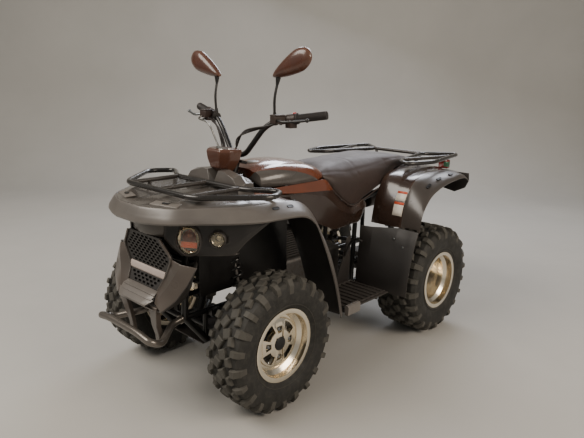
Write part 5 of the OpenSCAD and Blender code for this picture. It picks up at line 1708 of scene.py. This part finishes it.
        # Teardrop shell, blunt at the outer end, and the glass that faces the rider.
        tilt = Matrix.Translation(middle) @ Matrix.Rotation(math.radians(-24), 4, "Y")
        outline = []
        for k in range(48):
            a = 2 * math.pi * k / 48
            c = math.cos(a)
            x = mix(-0.116, 0.090, (math.copysign(abs(c) ** 0.75, c) + 1) / 2)
            half = mix(0.013, 0.0445, min(1, ((x + 0.116) / 0.150) ** 0.8))
            outline.append((x, half * math.copysign(abs(math.sin(a)) ** 0.8, math.sin(a))))
        rings = []
        for grow, depth in ((0.96, 0.0075), (1.0, 0.004), (1.0, -0.004), (0.90, -0.013), (0.66, -0.020),
                            (0.30, -0.0235)):
            rings.append([f(tilt @ Vector((x * grow, -0.008 + depth, 0.002 + z * grow))) for x, z in outline])
        bm = bmesh.new()
        verts = add_grid(bm, rings, closed=True)
        bm.faces.new(verts[0])
        bm.faces.new(verts[-1])
        piece(f"mirror_shell_{n}", bm, copper_plastic(), "steering", (), 50)
        bm = bmesh.new()
        bm.faces.new([bm.verts.new(f(tilt @ Vector((x * 0.9, 0.0002, 0.002 + z * 0.9)))) for x, z in outline])
        obj = piece(f"mirror_glass_{n}", bm,
                    material("Glass silvered", "#e2e5e6", "#d6dadb", 200, (0.02, 0.04),
                                                      metallic=1.0, grain=4, depth=0.0), "steering",
                    (), 0)
        modifier(obj, "SOLIDIFY", thickness=0.001, offset=0)

    def pod(self):
        lo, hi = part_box("instrument_pod")
        bm = bmesh.new()
        # Faceted cowl: sections from the chin to the brow.
        wide = (hi.x - lo.x) / 2
        rows = []
        for t, w, front, back in ((0.0, 0.42, 0.45, 0.75), (0.25, 0.70, 0.12, 0.86), (0.6, 0.92, 0.03, 0.95),
                                  (0.9, 1.0, 0.0, 1.0), (1.0, 0.94, 0.06, 0.98)):
            z = mix(lo.z, hi.z, t)
            ya, yb = mix(lo.y, hi.y - 0.03, front), mix(lo.y, hi.y - 0.03, back)
            x = wide * w
            rows.append([Vector(p) for p in ((-x, yb, z), (-x * 0.96, mix(ya, yb, 0.35), z),
                                             (-x * 0.55, ya, z),
                                             (0, ya, z), (x * 0.55, ya, z), (x * 0.96, mix(ya, yb, 0.35), z),
                                             (x, yb, z), (0, yb, z))])
        verts = add_grid(bm, rows, closed=True)
        bm.faces.new(verts[0])
        bm.faces.new(verts[-1])
        obj = piece("pod_cowl", bm, copper_plastic(), "steering", ("instrument_pod",), 15)
        modifier(obj, "BEVEL", width=0.003, segments=2, limit_method="ANGLE", angle_limit=math.radians(15))
        # Round dial with a tick ring, facing up and back.
        face = Matrix.Translation(Vector((0, mix(lo.y, hi.y, 0.55), hi.z - 0.002))) \
            @ Matrix.Rotation(math.radians(-14), 4, "X")
        bm = bmesh.new()
        add_turned(bm, [(0.0, 0.001), (0.036, 0.001), (0.036, -0.006), (0.0, -0.006)], face, sides=48)
        piece("dial_face", bm, moulded_black(), "steering", (), 30)
        bm = bmesh.new()
        add_turned(bm, [(0.036, 0.0015), (0.039, 0.0015), (0.039, -0.006), (0.036, -0.006)], face, sides=48)
        for k in range(21):
            a = math.radians(-120 + 12 * k + 90)
            add_box(bm, face @ Vector((0.031 * math.cos(a), 0.031 * math.sin(a), 0.0013)),
                    (0.006, 0.0009, 0.0006),
                    face.to_3x3() @ Matrix.Rotation(a, 3, "Z"))
        add_box(bm, face @ Vector((0.010, 0.010, 0.002)), (0.026, 0.0014, 0.0008),
                face.to_3x3() @ Matrix.Rotation(math.radians(45), 3, "Z"))
        piece("dial_ring", bm, chrome(), "steering", (), 30)

    def cables(self, path):
        """Cables from each lever bracket and switch box down beside the stem."""
        bm = bmesh.new()
        for side in (LEFT, RIGHT):
            f = (lambda p: p) if side == LEFT else flipped
            start = self.along(path, 178)
            for k, dy in enumerate((-30, -18, -6)):
                a = start + mm(-12, dy, -12)
                line = [a, a + mm(-34, -14 - 5 * k, -12), mm(78 - 8 * k, -418 - 6 * k, 1020 - 10 * k),
                        mm(34 + 4 * k, -424 - 4 * k, 950), mm(20 + 3 * k, -447, 905)]
                sweep(bm, [f(p) for p in spline(line, 8)], 0.0026 if k else 0.0036, sides=8)
        piece("control_cables", bm, moulded_rubber(), "steering", (), 50)
        # Braided brake hose on the right.
        bm = bmesh.new()
        start = flipped(self.along(path, 172)) + mm(0, -62, -6)
        line = [start, start + mm(14, -26, -10), mm(-104, -452, 1040), mm(-70, -446, 985), mm(-36, -446, 930),
                mm(-20, -449, 905)]
        sweep(bm, spline(line, 10), 0.0036, sides=10)
        piece("brake_hose", bm,
              material("Steel wire braided", "#a9a8a4", "#7f7e7a", 4, (0.3, 0.5), metallic=1.0,
                                         grain=1.6, depth=0.3), "steering", (), 50)


# ---------- chassis ----------
class QuadChassis(bpy.types.Operator):
    """Shock absorbers, engine, silencer and the finishes of the frame's own parts"""
    bl_idname = "quad.chassis"
    bl_label = "Chassis"

    def execute(self, context):
        self.shocks()
        self.engine()
        self.exhaust()
        finish = {
            black_steel(): ("frame", "front_wishbones", "rear_wishbones", "steering_stem", "left_half_shaft",
                            "right_half_shaft"),
            cast_alloy(): ("final_drive", "rear_uprights", "left_knuckle", "right_knuckle"),
            zinc_steel(): ("left_tie_rod", "right_tie_rod"),
            dark_plastic(): ("skid_plate",)}
        for mat, nodes in finish.items():
            for node in nodes:
                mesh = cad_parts[node].data
                mesh.materials.clear()
                mesh.materials.append(mat)
        return {"FINISHED"}

    def shocks(self):
        """Each shock absorber: eyes, damper body, rod and a coil spring between two cups."""
        ends = [(Vector((0.214, -HALF_WHEELBASE, 0.262)), Vector((0.119, -HALF_WHEELBASE, 0.598))),
                (Vector((0.214, HALF_WHEELBASE, 0.374)), Vector((0.119, HALF_WHEELBASE, 0.598)))]
        wire = sizes().coil_wire
        coils, bodies = bmesh.new(), bmesh.new()
        for side in (LEFT, RIGHT):
            f = (lambda p: p) if side == LEFT else flipped
            for low, high in ends:
                axis = (high - low).normalized()
                u = Vector((0, 1, 0))
                v = axis.cross(u)
                a, b = mix(low, high, 0.13), mix(low, high, 0.85)
                turns = sizes().spring_turns * (b - a).length / 0.24
                count = int(turns * 18)
                line = [f(mix(a, b, k / count) + 0.0222 * (u * math.cos(2 * math.pi * turns * k / count)
                                                           + v * math.sin(2 * math.pi * turns * k / count)))
                        for k in range(count + 1)]
                sweep(coils, line, wire, sides=8)
                for e in (low, high):
                    add_drum(bodies, f(e + mm(0, -16, 0)), f(e + mm(0, 16, 0)), 0.0150, sides=24)
                add_drum(bodies, f(mix(low, high, 0.02)), f(mix(low, high, 0.55)), 0.0135)
                add_drum(bodies, f(mix(low, high, 0.5)), f(mix(low, high, 0.97)), 0.0070)
                for t in (0.115, 0.85):
                    add_drum(bodies, f(mix(low, high, t)), f(mix(low, high, t) + axis * 0.006), 0.027,
                             sides=32)
        piece("shock_springs", coils, material("Spring steel painted", "#1f1f20", "#141414", 30, (0.22, 0.35),
                                               coat=0.5, grain=2.0, depth=0.03), "chassis",
              ("shock_absorbers",), 60)
        piece("shock_bodies", bodies, cast_alloy(), "chassis", (), 35)

    def engine(self):
        """Crankcase with covers, a finned cylinder and head in the engine's block."""
        lo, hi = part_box("engine")
        base_top = lo.z + 0.200
        bm = bmesh.new()
        add_box(bm, Vector((0, (lo.y + hi.y) / 2, (lo.z + base_top) / 2)),
                (0.140, hi.y - lo.y - 0.004, base_top - lo.z))
        obj = piece("crankcase", bm, cast_alloy(), "chassis", ("engine",), 30)
        modifier(obj, "BEVEL", width=0.018, segments=4)
        bm = bmesh.new()
        for side in (LEFT, RIGHT):
            place = Matrix.Translation(mm(side * 66, 60, 330)) @ Matrix.Rotation(math.radians(90 * side), 4,
                    "Y")
            add_turned(bm, [(0, 0.0115), (0.030, 0.0115), (0.034, 0.009), (0.066, 0.009), (0.078, 0.004),
                            (0.080, 0.0),
                            (0.080, -0.01), (0, -0.01)], place, sides=64)
            for k in range(8):
                a = 2 * math.pi * k / 8
                add_turned(bm, [(0, 0.011), (0.004, 0.011), (0.005, 0.008), (0.005, 0.002), (0, 0.002)],
                           place @ Matrix.Translation(Vector((0.071 * math.cos(a), 0.071 * math.sin(a), 0))),
                           sides=6)
        piece("engine_covers", bm,
              material("Aluminium die cast polished", "#a7a39c", "#85817a", 40, (0.25, 0.4),
                                            metallic=1.0, grain=2.0, depth=0.05), "chassis",
              (), 30)
        bm = bmesh.new()
        y0, y1 = lo.y + 0.022, lo.y + 0.186
        add_box(bm, Vector((0, (y0 + y1) / 2, (base_top + hi.z) / 2)),
                (0.084, y1 - y0 - 0.03, hi.z - base_top - 0.002))
        z = base_top + 0.012
        while z < hi.z - 0.006:
            add_box(bm, Vector((0, (y0 + y1) / 2, z)), (0.110, y1 - y0 - 0.003, 0.0032))
            z += 0.011
        piece("cylinder_fins", bm, cast_alloy(), "chassis", (), 30)

    def exhaust(self):
        steel = material("Steel heat browned", "#4a4039", "#30302f", 70, (0.35, 0.5), metallic=0.85,
                         grain=1.5,
                         depth=0.08)
        x, z = -0.034, 0.590
        bm = bmesh.new()
        pipe = [Vector((x, 0.0006, 0.520)), Vector((x, 0.060, 0.520)), Vector((x, 0.130, z)),
                Vector((x, 0.560, z))]
        sweep(bm, rounded(pipe, 0.06), 0.0168, sides=20)
        piece("exhaust_pipe", bm, steel, "chassis", ("exhaust",), 40)
        bm = bmesh.new()
        line, radii = [], []
        for y, r in ((0.560, 0.020), (0.566, 0.040), (0.572, 0.0437), (0.60, 0.0437), (0.601, 0.0425),
                     (0.82, 0.0425),
                     (0.821, 0.0437), (0.848, 0.0437), (0.856, 0.038), (0.860, 0.016), (0.884, 0.0138)):
            line.append(Vector((x, y, z)))
            radii.append(r)
        sweep(bm, line, radii, sides=48)
        piece("silencer", bm, steel, "chassis", (), 30)


# ---------- sidebar and run ----------
class QuadPanel(bpy.types.Panel):
    """Buttons for every piece of the quad bike"""
    bl_idname = "VIEW3D_PT_quad_bike"
    bl_label = "Quad bike"
    bl_space_type = "VIEW_3D"
    bl_region_type = "UI"
    bl_category = "Quad bike"

    def draw(self, context):
        for group in (context.scene.quad_sizes, context.scene.quad_colours):
            for key in group.__annotations__:
                self.layout.prop(group, key)
        for operator in OPERATORS:
            self.layout.operator(operator.bl_idname)


OPERATORS = (QuadStage, QuadTyres, QuadRims, QuadFrontBand, QuadDeck, QuadGrille, QuadLamps, QuadRacks,
             QuadTank,
             QuadSeat, QuadRearBody, QuadFootwells, QuadControls, QuadChassis)
CLASSES = (QuadColours, QuadSizes) + OPERATORS + (QuadPanel,)


def register():
    for c in CLASSES:
        bpy.utils.register_class(c)
    bpy.types.Scene.quad_colours = PointerProperty(type=QuadColours)
    bpy.types.Scene.quad_sizes = PointerProperty(type=QuadSizes)


def unregister():
    del bpy.types.Scene.quad_sizes
    del bpy.types.Scene.quad_colours
    for c in reversed(CLASSES):
        bpy.utils.unregister_class(c)


def main():
    random.seed(1)
    register()
    for operator in OPERATORS:
        group, name = operator.bl_idname.split(".")
        getattr(getattr(bpy.ops, group), name)()


if __name__ == "__main__":
    main()
